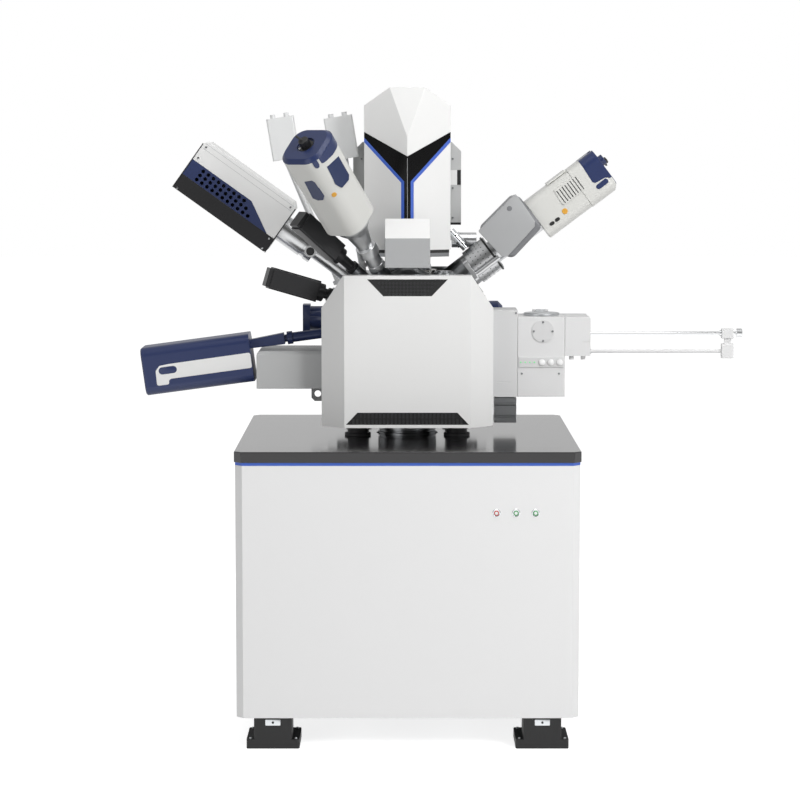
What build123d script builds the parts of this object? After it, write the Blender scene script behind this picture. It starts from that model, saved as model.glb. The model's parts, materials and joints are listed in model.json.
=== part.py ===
from build123d import *
import os
from math import cos, hypot, radians, sin, tan

# Scanning electron microscope with an ion column, on its table. Millimetres, +Z up, the viewer at -Y.
# The electron beam runs down the line x = column_x, y = 0. Every x below is measured from that beam.
# The origin lies on the floor, below the middle of the whole instrument.

# Driving dimensions
column_x = -105.0
table_size = 960.0
table_top = 833.0
table_thickness = 30.0
table_corner = 20.0
strip_height = 8.5
strip_setback = 3.0
cabinet_setback = 3.0
cabinet_wall = 3.0
cabinet_bottom = 87.0
frame_tube = 40.0
foot_setback = 105.0
foot_pad_width = 148.0
foot_pad_height = 26.0
foot_block_width = 106.0
foot_block_depth = 100.0
button_radius = 7.0
button_drop = 169.6
button_setback = 235.0
button_pitch = 54.0

focus_rise = 339.0
focus_height = table_top + focus_rise
chamber_drop = 267.0
shoulder_rise = 28.0
chamber_rise = 128.0
chamber_bottom = focus_height - chamber_drop
chamber_shoulder = focus_height + shoulder_rise
chamber_top = focus_height + chamber_rise
chamber_half_width = 238.0
chamber_top_half_width = 165.0
chamber_front = -160.0
chamber_depth = 360.0
chamber_wall = 38.0
chamber_ceiling = 30.0
chamber_edge = 12.0
pillar_radius = 30.0
pillar_reach = 144.0
turbo_radius = 85.0
turbo_length = 265.0

lens_gap = 14.0
lens_tip_radius = 10.0
lens_cone_angle = 30.0
lens_radius = 60.0
lens_flange_radius = 85.0
lens_flange_height = 12.0

door_thickness = 22.0
door_half_width = 222.0
door_edge = 18.0
rail_radius = 10.0
rail_reach = 190.0
cover_front = -212.0
cover_back = -150.0
cover_half_width = 247.0
cover_face_half_width = 180.0
cover_skirt = 36.0
cover_overlap = 4.0
cover_bottom = chamber_bottom - cover_skirt
cover_shoulder = chamber_shoulder + 2 * cover_overlap
cover_top = chamber_top + cover_overlap
cover_wall = 4.0

running = 0.1
clearance = 0.3

stage_half_width = 60.0
slide_height = 25.0
guide_width = 40.0
guide_height = 6.0
lift_drop = 40.0
ear_reach = 52.0
ear_thickness = 6.0
table_radius = 25.0
stub_radius = 6.35
stub_pin_radius = 1.6

ion_slope = 37.0
ion_radius = 29.0
ion_cover_size = 128.0
xray_slope = 35.6
xray_width = 167.0
xray_depth = 150.0
camera_slope = 7.65
camera_tube_radius = 14.5
leaning_axis = (-0.401, -0.571, 0.718)
leaning_radius = 22.0
leaning_cover_size = 132.0

airlock_depth = 150.0
rod_drop = 47.0
rod_spacing = 53.0
rod_height = focus_height - rod_drop
guide_rod_height = rod_height - rod_spacing
rod_radius = 5.5
guide_rod_radius = 5.0

focus = Vector(column_x, 0, focus_height)
os.makedirs("parts", exist_ok=True)


# Planes
def level(z, x=0.0, y=0.0):
    """A plane that looks up from height z, centred at x, y."""
    return Plane(origin=(column_x + x, y, z), x_dir=(1, 0, 0), z_dir=(0, 0, 1))


def facing(y, x=0.0, z=0.0):
    """A plane that faces the viewer, with its own x to the right and its own y upwards."""
    return Plane(origin=(column_x + x, y, z), x_dir=(1, 0, 0), z_dir=(0, -1, 0))


def sideways(x, y=0.0, z=0.0):
    """A plane that looks to the right, with its own x to the back and its own y upwards."""
    return Plane(origin=(column_x + x, y, z), x_dir=(0, 1, 0), z_dir=(1, 0, 0))


def slope_direction(slope, side):
    """The direction that rises at a slope to the right (side 1) or to the left (side -1)."""
    return Vector(side * cos(radians(slope)), 0, sin(radians(slope)))


def beside(slope, side, y=0.0, start=focus):
    """A plane facing the viewer with its own x outward along a sloping axis, and y the distance below or
    above that axis: above it on the right side, below it on the left."""
    outward = slope_direction(slope, side)
    return Plane(origin=(start.X, start.Y + y, start.Z), x_dir=outward, z_dir=(0, -1, 0))


def square_to(direction, distance, start=focus):
    """A plane square to an axis that leaves a start point, with its own x level."""
    axis = Vector(*direction).normalized()
    across = Vector(0, 0, 1).cross(axis).normalized()
    return Plane(origin=start + axis * distance, x_dir=across, z_dir=axis)


def lengthwise(direction, start=focus):
    """A plane that holds an axis as its own x, for outlines that are turned about that axis."""
    axis = Vector(*direction).normalized()
    across = Vector(0, 0, 1).cross(axis).normalized()
    return Plane(origin=start, x_dir=axis, z_dir=across)


# Shapes that join the part in whose block they are called
def block(x0, x1, y0, y1, z0, z1, mode=Mode.ADD):
    """A block between two corners."""
    with BuildSketch(level(z0, (x0 + x1) / 2, (y0 + y1) / 2)) as base:
        Rectangle(x1 - x0, y1 - y0)
    extrude(base.sketch, amount=z1 - z0, mode=mode)


def plate(plane, points, thickness, mode=Mode.ADD):
    """A plate of the outline through points, drawn on a plane and thickened along its normal."""
    with BuildSketch(plane) as outline:
        with BuildLine():
            Polyline(points, close=True)
        make_face()
    extrude(outline.sketch, amount=thickness, mode=mode)


def disc(plane, radius, height, mode=Mode.ADD):
    """A round bar or hole from a plane, along its normal."""
    with BuildSketch(plane) as end:
        Circle(radius)
    extrude(end.sketch, amount=height, mode=mode)


def rounded(plane, width, height, radius, length, mode=Mode.ADD):
    """A bar of rounded rectangular section from a plane, along its normal."""
    with BuildSketch(plane) as end:
        RectangleRounded(width, height, radius)
    extrude(end.sketch, amount=length, mode=mode)


def turned(plane, steps, mode=Mode.ADD):
    """An outline of (distance, radius) steps, turned about the plane's own x axis."""
    with BuildSketch(plane) as outline:
        with BuildLine():
            Polyline([(steps[0][0], 0), *steps, (steps[-1][0], 0)], close=True)
        make_face()
    revolve(outline.sketch, axis=Axis(plane.origin, plane.x_dir), mode=mode)


def save(part, name):
    """Labels a finished piece and writes it to its own file."""
    part.part.label = name
    export_step(part.part, f"parts/{name}.step")


def save_together(parts, name):
    """Writes pieces that are pressed into each other, each a solid of its own, to one file."""
    group = Compound(children=[piece.part for piece in parts])
    group.label = name
    export_step(group, f"parts/{name}.step")


# The table
table_half = table_size / 2
table_bottom = table_top - table_thickness
pump_hole_radius = turbo_radius + 5

with BuildPart() as tabletop:
    with BuildSketch(level(table_bottom)) as top_outline:
        Rectangle(table_size, table_size)
        chamfer(top_outline.vertices(), table_corner)
    extrude(amount=table_thickness)
    chamfer(tabletop.faces().sort_by(Axis.Z)[-1].outer_wire().edges(), 1.5)
    disc(level(table_bottom), pump_hole_radius, table_thickness, Mode.SUBTRACT)
save(tabletop, "tabletop")

# The light strip is a diffuser ring under the edge of the tabletop
strip_bottom = table_bottom - strip_height
strip_half = table_half - strip_setback
strip_width = 20.0
with BuildPart() as light_strip:
    with BuildSketch(level(strip_bottom)) as strip_outline:
        Rectangle(2 * strip_half, 2 * strip_half)
        chamfer(strip_outline.vertices(), table_corner)
        Rectangle(2 * (strip_half - strip_width), 2 * (strip_half - strip_width), mode=Mode.SUBTRACT)
    extrude(amount=strip_height)
save(light_strip, "light_strip")

# The cabinet cover is one sheet folded round the front and both sides, with cut corners
cabinet_half = table_half - cabinet_setback
cabinet_inner = cabinet_half - cabinet_wall
rear_opening = cabinet_inner - frame_tube
bezel_radius = button_radius + 4
button_xs = [table_half - button_setback + i * button_pitch for i in range(3)]
button_height = table_top - button_drop
with BuildPart() as cabinet_cover:
    with BuildSketch(level(cabinet_bottom)) as cabinet_outline:
        Rectangle(2 * cabinet_half, 2 * cabinet_half)
        chamfer(cabinet_outline.vertices(), table_corner)
    extrude(amount=strip_bottom - cabinet_bottom)
    with BuildSketch(level(cabinet_bottom)) as cabinet_inside:
        Rectangle(2 * cabinet_inner, 2 * cabinet_inner)
        chamfer(cabinet_inside.vertices(), table_corner - cabinet_wall * (2 - 2 ** 0.5))
    extrude(amount=strip_bottom - cabinet_bottom, mode=Mode.SUBTRACT)
    block(-rear_opening, rear_opening, cabinet_inner - 1, cabinet_half + 1,
          cabinet_bottom, strip_bottom, Mode.SUBTRACT)
    for x in button_xs:
        disc(facing(-cabinet_half, x, button_height), bezel_radius, 1.5)
        disc(facing(-cabinet_inner, x, button_height), button_radius + clearance, 10, Mode.SUBTRACT)
save(cabinet_cover, "cabinet_cover")

# The frame is welded from square tube; four blocks on its top corners carry the tabletop
with BuildPart() as cabinet_frame:
    inner = cabinet_inner - frame_tube
    corner = table_corner + 5
    for side in (-1, 1):
        for end in (-1, 1):
            x = side * (cabinet_inner - frame_tube / 2 - corner)
            y = end * (cabinet_inner - frame_tube / 2)
            block(x - frame_tube / 2, x + frame_tube / 2, y - frame_tube / 2, y + frame_tube / 2,
                  cabinet_bottom, strip_bottom)
            block(x - frame_tube / 2, x + frame_tube / 2, end * (strip_half - strip_width - 20) - 20,
                  end * (strip_half - strip_width - 20) + 20, strip_bottom - frame_tube, table_bottom)
        for z in (cabinet_bottom, strip_bottom - frame_tube):
            reach = cabinet_inner - corner
            low, high = sorted((side * inner, side * cabinet_inner))
            block(-reach, reach, low, high, z, z + frame_tube)
            low, high = sorted((side * (reach - frame_tube), side * reach))
            block(low, high, -inner, inner, z, z + frame_tube)
    for x in (-150, 150):
        block(x - frame_tube / 2, x + frame_tube / 2, -inner, inner, cabinet_bottom, cabinet_bottom + frame_tube)
save(cabinet_frame, "cabinet_frame")

# The rear panel fills the back of the cover and has two fields of louvre slots
with BuildPart() as rear_panel:
    block(-rear_opening, rear_opening, cabinet_inner, cabinet_half, cabinet_bottom, strip_bottom)
    for z in (cabinet_bottom + 153, strip_bottom - 234):
        with BuildSketch(facing(cabinet_half + 1, 0, z)):
            with GridLocations(420, 18, 2, 8):
                Rectangle(280, 6)
        extrude(amount=cabinet_wall + 2, mode=Mode.SUBTRACT)
save(rear_panel, "rear_panel")

# Crates of electronics stand on the frame inside the cabinet
crate_floor = cabinet_bottom + frame_tube
with BuildPart() as electronics_crates:
    block(-340, 340, -380, 330, crate_floor, crate_floor + 150)
    block(-330, -30, -300, 250, crate_floor + 150, crate_floor + 390)
    block(30, 330, -300, 250, crate_floor + 150, crate_floor + 330)
    chamfer(electronics_crates.edges().filter_by(Axis.Z), 6)
save(electronics_crates, "electronics_crates")

# Each levelling foot is a cast block on a wide pad
foot_front = table_half - 5
with BuildPart() as levelling_feet:
    for side in (-1, 1):
        for end in (-1, 1):
            x = side * (table_half - foot_setback)
            y = end * (foot_front - foot_pad_width / 2)
            rounded(level(0, x, y), foot_pad_width, foot_pad_width, 6, foot_pad_height)
            y = end * (foot_front - foot_block_depth / 2)
            rounded(level(foot_pad_height, x, y), foot_block_width, foot_block_depth, 4,
                    cabinet_bottom - foot_pad_height)
save(levelling_feet, "levelling_feet")

# Push buttons: a cap through the bezel, and a collar behind the sheet that stops it coming out
for name, x in zip(("button_left", "button_middle", "button_right"), button_xs):
    with BuildPart() as button:
        face = cabinet_half + 3.5
        disc(facing(-face, x, button_height), button_radius, -(face - cabinet_inner + clearance + 6))
        disc(facing(-cabinet_inner + clearance, x, button_height), button_radius + 2.5, -3)
        chamfer(button.faces().sort_by(Axis.Y)[0].edges(), 0.6)
    save(button, name)

# The chamber stands on four isolator pillars
pillar_front = -72.0
pillar_rear = 150.0
with BuildPart() as isolators:
    for x in (-pillar_reach, pillar_reach):
        for y in (pillar_front, pillar_rear):
            disc(level(table_top, x, y), pillar_radius + 8, 8)
            disc(level(table_top + 8, x, y), pillar_radius, chamber_bottom - table_top - 16)
            disc(level(chamber_bottom - 8, x, y), pillar_radius + 4, 8)
save(isolators, "isolators")

# The turbo pump hangs from the chamber, down through the table
with BuildPart() as turbo_pump:
    turned(Plane(origin=(column_x, 0, chamber_bottom), x_dir=(0, 0, -1), z_dir=(0, -1, 0)),
           [(0, turbo_radius + 12), (14, turbo_radius + 12), (14, turbo_radius), (60, turbo_radius),
            (60, turbo_radius - 4), (66, turbo_radius - 4), (66, turbo_radius), (120, turbo_radius),
            (120, turbo_radius - 12), (turbo_length - 40, turbo_radius - 12), (turbo_length, 50)])
save(turbo_pump, "turbo_pump")


# The chamber: a thick machined housing with cut shoulders, open at the front
def chamber_outline(inset, ceiling, floor):
    """The chamber's section seen from the front, set in by a wall, a ceiling and a floor."""
    run = chamber_half_width - chamber_top_half_width
    rise = chamber_top - chamber_shoulder
    shoulder_shift = inset * (hypot(run, rise) - rise) / run
    half = chamber_half_width - inset
    top = chamber_top - ceiling
    shoulder = chamber_shoulder - shoulder_shift
    top_half = half - (top - shoulder) * run / rise
    return [(-half, chamber_bottom + floor), (half, chamber_bottom + floor), (half, shoulder),
            (top_half, top), (-top_half, top), (-half, shoulder)]


chamber_back = chamber_front + chamber_depth
leaning = Vector(*leaning_axis).normalized()
ion_axis = slope_direction(ion_slope, 1)
xray_axis = slope_direction(xray_slope, -1)
upper_arm_axis = Vector(-0.6745, -0.3766, 0.6352)
lower_arm_axis = Vector(-0.9346, -0.2132, 0.2843)
camera_axis = Vector(-cos(radians(camera_slope)), 0, -sin(radians(camera_slope)))
camera_reach = 300.0
camera_drop = 54.0
camera_start = Vector(column_x - camera_reach, 0, focus_height - camera_drop)
window_half_width = 40.0
window_bottom = rod_height - 27
window_top = rod_height + 27
ports = [
    (ion_axis, ion_radius, 48.0, 170.0, 225.0),
    (xray_axis, 23.0, 42.0, 175.0, 218.0),
    (leaning, 20.0, 26.0, 165.0, 216.0),
    (upper_arm_axis, 7.0, 18.0, 185.0, 230.0),
    (lower_arm_axis, 7.0, 24.0, 205.0, 236.0),
]
rail_height = chamber_bottom - rail_radius - 8
bush_size = 2 * rail_radius + 16
with BuildPart() as chamber_body:
    plate(facing(chamber_back), chamber_outline(0, 0, 0), chamber_depth)
    chamfer(chamber_body.faces().sort_by(Axis.Y)[0].outer_wire().edges(), chamber_edge)
    plate(facing(chamber_back - chamber_wall), chamber_outline(chamber_wall, chamber_ceiling, 30),
          chamber_depth, Mode.SUBTRACT)
    for axis, bore, boss, start, end in ports:
        disc(square_to(axis, start - 60), bore + running, end - start + 120, Mode.SUBTRACT)
    disc(level(chamber_top - chamber_ceiling - 1), lens_radius, chamber_ceiling + 2, Mode.SUBTRACT)
    disc(square_to(camera_axis, 0, camera_start), camera_tube_radius + running, -130, Mode.SUBTRACT)
    block(chamber_half_width - chamber_wall - 1, chamber_half_width + 1, -window_half_width,
          window_half_width, window_bottom, window_top, Mode.SUBTRACT)
    disc(level(chamber_bottom - 1), turbo_radius - 10, 32, Mode.SUBTRACT)
save(chamber_body, "chamber_body")

# On the chamber: the necks of its ports, the bush blocks that guide the door's rails, and round
# blanking flanges that close the spare ports on the top
with BuildPart() as chamber_fittings:
    for axis, bore, boss, start, end in ports:
        disc(square_to(axis, start), boss, end - start)
    plate(facing(chamber_back), chamber_outline(0, 0, 0), chamber_depth, Mode.SUBTRACT)
    for axis, bore, boss, start, end in ports:
        disc(square_to(axis, start - 60), bore + running, end - start + 120, Mode.SUBTRACT)
    for side in (-1, 1):
        for y in (chamber_front + 30, chamber_front + 240):
            x = side * rail_reach
            block(x - bush_size / 2, x + bush_size / 2, y - 20, y + 20, rail_height - bush_size / 2,
                  chamber_bottom)
        disc(facing(chamber_back, side * rail_reach, rail_height), rail_radius + running, chamber_depth + 10,
             Mode.SUBTRACT)
    for x, y, radius in ((105, -120, 30), (-20, 150, 36), (95, 140, 34)):
        disc(level(chamber_top, x, y), radius, 10)
        disc(level(chamber_top + 10, x, y), radius - 9, 4)
    for side, slope_y in ((1, -105), (1, 110)):
        normal = Vector(chamber_top - chamber_shoulder, 0, chamber_half_width - chamber_top_half_width)
        middle = Vector(column_x + (chamber_half_width + chamber_top_half_width) / 2, slope_y,
                        (chamber_top + chamber_shoulder) / 2)
        plane = Plane(origin=middle, x_dir=(0, 1, 0), z_dir=normal.normalized())
        disc(plane, 34, 9)
        disc(plane.offset(9), 24, 5)
save(chamber_fittings, "chamber_fittings")

# The objective lens hangs through the ceiling, with its pole tip just above the sample
lens_bottom = focus_height + lens_gap
lens_shoulder = lens_bottom + (lens_radius - lens_tip_radius) / tan(radians(lens_cone_angle))
with BuildPart() as objective_lens:
    with BuildSketch(facing(0)):
        with BuildLine():
            Polyline([(0, lens_bottom), (lens_tip_radius, lens_bottom), (lens_radius, lens_shoulder),
                      (lens_radius, chamber_top), (lens_flange_radius, chamber_top),
                      (lens_flange_radius, chamber_top + lens_flange_height),
                      (0, chamber_top + lens_flange_height)], close=True)
        make_face()
    revolve(axis=Axis((column_x, 0, 0), (0, 0, 1)))
    disc(level(lens_bottom - 1), 2.5, 200, Mode.SUBTRACT)
save(objective_lens, "objective_lens")

# The door: a plate on two rails that run in bushes under the chamber, with the stage's shelf inside
door_back = chamber_front - clearance
door_front = door_back - door_thickness
door_bottom = chamber_bottom + 7
shelf_rise = 60.0
shelf_top = chamber_bottom + shelf_rise
shelf_half_width = 90.0
rail_end = 185.0
seal_width = 6.0
seal_depth = 4.0


def door_outline(inset):
    """The door's edge, set in all round."""
    half = door_half_width - inset
    top = chamber_top - 12 - inset
    shoulder = chamber_shoulder - 4 - inset * 0.33
    return [(-half, door_bottom + inset), (half, door_bottom + inset), (half, shoulder),
            (half - (top - shoulder) * 0.73, top), ((top - shoulder) * 0.73 - half, top), (-half, shoulder)]


with BuildPart() as door_seal:
    plate(facing(door_back - seal_depth), door_outline(5), -seal_depth)
    plate(facing(door_back - 2 * seal_depth), door_outline(5 + seal_width), -4 * seal_depth, Mode.SUBTRACT)
save(door_seal, "door_seal")

with BuildPart() as door_plate:
    plate(facing(door_back), door_outline(0), door_thickness)
    chamfer(door_plate.faces().sort_by(Axis.Y)[0].outer_wire().edges(), door_edge)
    block(-shelf_half_width, shelf_half_width, door_back, 100, shelf_top - 22, shelf_top)
    block(-guide_width / 2, guide_width / 2, -105, 100, shelf_top, shelf_top + guide_height)
    for side in (-1, 1):
        x = side * (shelf_half_width - 10)
        plate(sideways(x - 6), [(door_back, shelf_top), (-118, shelf_top), (door_back, shelf_top + 90)], 12)
        x = side * rail_reach
        block(x - 14, x + 14, door_front, door_back, rail_height - 13, door_bottom + 20)
        disc(facing(rail_end, x, rail_height), rail_radius, rail_end - door_front)
    for x in (-150, 150):
        for z in (chamber_bottom + 55, chamber_shoulder):
            disc(facing(door_front, x, z), 12, door_front - cover_front - cover_wall)
    add(door_seal.part, mode=Mode.SUBTRACT)
save(door_plate, "door_plate")

# The front cover: a moulded shell with a flat face, side facets and cut shoulders
grille_top = cover_top - 10
grille_bottom = grille_top - 48
grille_outline = [(-115, grille_top), (115, grille_top), (69, grille_bottom), (-69, grille_bottom)]
vent_bottom = cover_bottom + 9
vent_top = vent_bottom + 35
vent_outline = [(-176, vent_bottom), (176, vent_bottom), (143, vent_top), (-143, vent_top)]
frill_depth = 3.0


def cover_form(inset):
    """The cover's outer form set in by a wall: its front view and its plan, cut from each other."""
    half = cover_half_width - inset
    top = cover_top - inset
    top_half = 183 - inset
    with BuildPart() as form:
        plate(facing(cover_back), [(-half, cover_bottom + inset), (half, cover_bottom + inset),
                                   (half, cover_shoulder), (top_half, top), (-top_half, top),
                                   (-half, cover_shoulder)], cover_back - cover_front - inset)
        with BuildSketch(level(cover_bottom)):
            with BuildLine():
                Polyline([(-half, cover_back), (half, cover_back), (cover_face_half_width, cover_front + inset),
                          (-cover_face_half_width, cover_front + inset)], close=True)
            make_face()
        extrude(amount=cover_top - cover_bottom, mode=Mode.INTERSECT)
    return form.part


def grown(points, amount):
    """A four-sided outline that is wide above or below, let out sideways and up and down."""
    middle = sum(z for x, z in points) / 4
    return [(x + (amount * 1.4 if x > 0 else -amount * 1.4), z + (amount if z > middle else -amount))
            for x, z in points]


with BuildPart() as front_cover:
    add(cover_form(0))
    add(cover_form(cover_wall), mode=Mode.SUBTRACT)
    for outline in (grille_outline, vent_outline):
        plate(facing(cover_front + cover_wall + 1), outline, cover_wall + 2, Mode.SUBTRACT)
save(front_cover, "front_cover")

# The grille and the comb vent are black plates set behind the openings of the front cover
grille_back = cover_front + cover_wall + frill_depth
mesh_pitch = 10.0
with BuildPart() as cover_grille:
    plate(facing(grille_back), grown(grille_outline, 4), frill_depth)
    for row in range(4):
        z = grille_bottom + 6.5 + row * mesh_pitch
        columns = 2 * int((58 + row * 9.6) / mesh_pitch) + 1
        with BuildSketch(facing(grille_back + 1, 0, z)):
            with GridLocations(mesh_pitch, 1, columns, 1):
                Rectangle(mesh_pitch - 3, mesh_pitch - 3, rotation=45)
        extrude(amount=frill_depth + 2, mode=Mode.SUBTRACT)
save(cover_grille, "cover_grille")

slot_pitch = 11.0
with BuildPart() as cover_vent:
    plate(facing(grille_back), grown(vent_outline, 3), frill_depth)
    for z, count in ((vent_bottom + 10, 29), (vent_top - 9, 25)):
        with BuildSketch(facing(grille_back + 1, 0, z)):
            with GridLocations(slot_pitch, 1, count, 1):
                Rectangle(slot_pitch - 4.5, 14)
        extrude(amount=frill_depth + 2, mode=Mode.SUBTRACT)
save(cover_vent, "cover_vent")

# The stage: two crossed slides, a lift, a tilting cradle and a turntable, stacked on the door's shelf
y_slide_bottom = shelf_top + clearance
y_slide_top = y_slide_bottom + slide_height
with BuildPart() as stage_y_slide:
    block(-stage_half_width, stage_half_width, -stage_half_width, stage_half_width, y_slide_bottom, y_slide_top)
    block(-guide_width / 2 - clearance, guide_width / 2 + clearance, -100, 100, y_slide_bottom - 1,
          shelf_top + guide_height + clearance, Mode.SUBTRACT)
    block(-stage_half_width, stage_half_width, -guide_width / 2, guide_width / 2, y_slide_top,
          y_slide_top + guide_height)
    chamfer(stage_y_slide.edges().filter_by(Axis.Z).group_by(Axis.X)[0], 4)
save(stage_y_slide, "stage_y_slide")

x_slide_bottom = y_slide_top + clearance
x_slide_top = x_slide_bottom + slide_height
post_radius = 6.0
post_x = 45.0
post_y = 78.0
lift_floor = x_slide_top + lift_drop + 5
lift_thickness = 14.0
with BuildPart() as stage_x_slide:
    block(-stage_half_width, stage_half_width, -post_y - 12, post_y + 12, x_slide_bottom, x_slide_top)
    block(-100, 100, -guide_width / 2 - clearance, guide_width / 2 + clearance, x_slide_bottom - 1,
          y_slide_top + guide_height + clearance, Mode.SUBTRACT)
    for x in (-post_x, post_x):
        for y in (-post_y, post_y):
            disc(level(x_slide_top, x, y), post_radius, lift_floor + lift_thickness + 4 - x_slide_top)
save(stage_x_slide, "stage_x_slide")

ear_outer = ear_reach + ear_thickness
pivot_radius = 4.0
upright_y = ear_outer + 1
upright_thickness = 8.0
with BuildPart() as stage_lift:
    block(-post_x - 12, post_x + 12, -post_y - 12, post_y + 12, lift_floor, lift_floor + lift_thickness)
    for x in (-post_x, post_x):
        for y in (-post_y, post_y):
            disc(level(lift_floor - 1, x, y), post_radius + running, lift_thickness + 2, Mode.SUBTRACT)
    for side in (-1, 1):
        back = side * upright_y + (upright_thickness if side > 0 else 0)
        plate(facing(back), [(-26, lift_floor), (26, lift_floor), (9, focus_height + 4),
                             (5, focus_height + 9), (-5, focus_height + 9), (-9, focus_height + 4)],
              upright_thickness)
        disc(facing(back + 1, 0, focus_height), pivot_radius + running, upright_thickness + 2, Mode.SUBTRACT)
save(stage_lift, "stage_lift")

cradle_bottom = focus_height - 60
cradle_top = cradle_bottom + 12
with BuildPart() as tilt_cradle:
    block(-table_radius, table_radius, -ear_outer, ear_outer, cradle_bottom, cradle_top)
    for side in (-1, 1):
        back = ear_outer if side > 0 else -ear_reach
        plate(facing(back), [(-16, cradle_top), (16, cradle_top), (9, focus_height + 4),
                             (4, focus_height + 9), (-4, focus_height + 9), (-9, focus_height + 4)],
              ear_thickness)
        outer = ear_outer if side > 0 else -ear_outer
        disc(facing(outer, 0, focus_height), pivot_radius, -side * (upright_thickness + 1))
    disc(level(cradle_bottom - 1), 5 + running, 20, Mode.SUBTRACT)
save(tilt_cradle, "tilt_cradle")

turntable_bottom = cradle_top + clearance
stub_thickness = 3.0
neck_top = focus_height - stub_thickness
with BuildPart() as turntable:
    disc(level(cradle_bottom + 1), 5, turntable_bottom - cradle_bottom - 1)
    disc(level(turntable_bottom), table_radius, 24)
    chamfer(turntable.faces().sort_by(Axis.Z)[-1].edges(), 1.5)
    disc(level(turntable_bottom + 24), 9, neck_top - turntable_bottom - 24)
    disc(level(neck_top - 11), stub_pin_radius, 12, Mode.SUBTRACT)
save(turntable, "turntable")

with BuildPart() as specimen_stub:
    disc(level(neck_top), stub_radius, stub_thickness)
    disc(level(neck_top), stub_pin_radius, -10)
save(specimen_stub, "specimen_stub")

# The electron column: a stepped tube with the gun on top, and a base plate that carries its cover
hood_gap = 72.0
hood_bottom = chamber_top + hood_gap
hood_half_width = 125.0
hood_front = -120.0
hood_corner = -50.0
hood_back = 120.0
hood_height = 466.0
hood_top = hood_bottom + hood_height
hood_shoulder = hood_top - 51
hood_top_half_width = 51.0
hood_fold = hood_top - 142
hood_wall = 8.0
insert_thickness = 4.0
base_thickness = 20.0
tube_bottom = chamber_top + lens_flange_height
with BuildPart() as column_tube:
    with BuildSketch(facing(0)):
        with BuildLine():
            Polyline([(2.5, tube_bottom), (70, tube_bottom), (70, tube_bottom + 14), (55, tube_bottom + 14),
                      (55, hood_bottom + 173), (82, hood_bottom + 188), (82, hood_top - 138),
                      (60, hood_top - 103), (2.5, hood_top - 103)], close=True)
        make_face()
    revolve(axis=Axis((column_x, 0, 0), (0, 0, 1)))
    with BuildSketch(level(hood_bottom - base_thickness)):
        with BuildLine():
            Polyline([(0, hood_front + 4), (hood_half_width - 4, hood_corner), (hood_half_width - 4, hood_back - 4),
                      (4 - hood_half_width, hood_back - 4), (4 - hood_half_width, hood_corner)], close=True)
        make_face()
        Circle(55, mode=Mode.SUBTRACT)
    extrude(amount=base_thickness)
save(column_tube, "column_tube")


def hood_form(inset):
    """The column cover's form set in by a wall: its front view and its plan, with the folded top facet."""
    half = hood_half_width - inset
    front = hood_front + inset * 1.15
    corner = hood_corner + inset * 0.6
    with BuildPart() as form:
        plate(facing(hood_back - inset),
              [(-half, hood_bottom), (half, hood_bottom), (half, hood_shoulder - inset * 0.6),
               (hood_top_half_width, hood_top - inset), (-hood_top_half_width, hood_top - inset),
               (-half, hood_shoulder - inset * 0.6)], hood_back - hood_front)
        with BuildSketch(level(hood_bottom)):
            with BuildLine():
                Polyline([(0, front), (half, corner), (half, hood_back), (-half, hood_back), (-half, corner)],
                         close=True)
            make_face()
        extrude(amount=hood_top - hood_bottom, mode=Mode.INTERSECT)
        lean = (hood_corner - hood_front) * hood_top_half_width / hood_half_width
        plate(sideways(-half), [(front - 40, hood_fold - 40 * (hood_top - hood_fold) / lean),
                                (front + 2 * lean, hood_fold + 2 * (hood_top - hood_fold)),
                                (front - 40, hood_fold + 2 * (hood_top - hood_fold))],
              2 * half, Mode.SUBTRACT)
    return form.part


# The Y-shaped insert lies in a recess below the hood, with a light strip along its outer edge
arm_top = hood_fold + 15
arm_root = hood_fold - 55
arm_bottom = hood_fold - 14
stem_top = hood_fold - 130
stem_half_width = 18.0
stem_bottom = hood_bottom + 48
edge_light = 5.0


def insert_outline(shrink):
    """The outline of the Y, with its outer lower edge drawn in."""
    half = stem_half_width - shrink
    slope = (arm_bottom - stem_top) / (hood_half_width - stem_half_width)
    lift = shrink * hypot(1, slope) - shrink * slope
    outer = hood_half_width + 5
    return [(-outer, arm_top + 5 * (arm_top - arm_root) / hood_half_width), (0, arm_root),
            (outer, arm_top + 5 * (arm_top - arm_root) / hood_half_width),
            (outer, arm_bottom + 5 * slope + shrink * hypot(1, slope)), (half, stem_top + lift),
            (half, stem_bottom), (-half, stem_bottom), (-half, stem_top + lift),
            (-outer, arm_bottom + 5 * slope + shrink * hypot(1, slope))]


with BuildPart() as cover_insert:
    add(hood_form(0))
    add(hood_form(insert_thickness), mode=Mode.SUBTRACT)
    plate(facing(hood_corner + 40), insert_outline(edge_light), hood_corner + 40 - hood_front + 10, Mode.INTERSECT)
save(cover_insert, "cover_insert")

with BuildPart() as cover_lights:
    add(hood_form(0))
    add(hood_form(insert_thickness), mode=Mode.SUBTRACT)
    plate(facing(hood_corner + 40), insert_outline(0), hood_corner + 40 - hood_front + 10, Mode.INTERSECT)
    add(cover_insert.part, mode=Mode.SUBTRACT)
save(cover_lights, "cover_lights")

with BuildPart() as column_cover:
    add(hood_form(0))
    add(hood_form(hood_wall), mode=Mode.SUBTRACT)
    add(cover_insert.part, mode=Mode.SUBTRACT)
    add(cover_lights.part, mode=Mode.SUBTRACT)
save(column_cover, "column_cover")

# A small box with a slanted top stands on a round dish in front of the column
front_box_half_width = 64.5
front_box_bottom = chamber_top + 26
front_box_top = front_box_bottom + 138
with BuildPart() as front_box:
    plate(sideways(-front_box_half_width), [(-200, front_box_bottom), (-140, front_box_bottom),
                                            (-140, front_box_top), (-146, front_box_top),
                                            (-200, front_box_top - 54)], 2 * front_box_half_width)
    chamfer(front_box.edges().filter_by(Axis.Z), 2)
    disc(level(chamber_top, 6, -122), 22, front_box_bottom - chamber_top)
save(front_box, "front_box")

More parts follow.
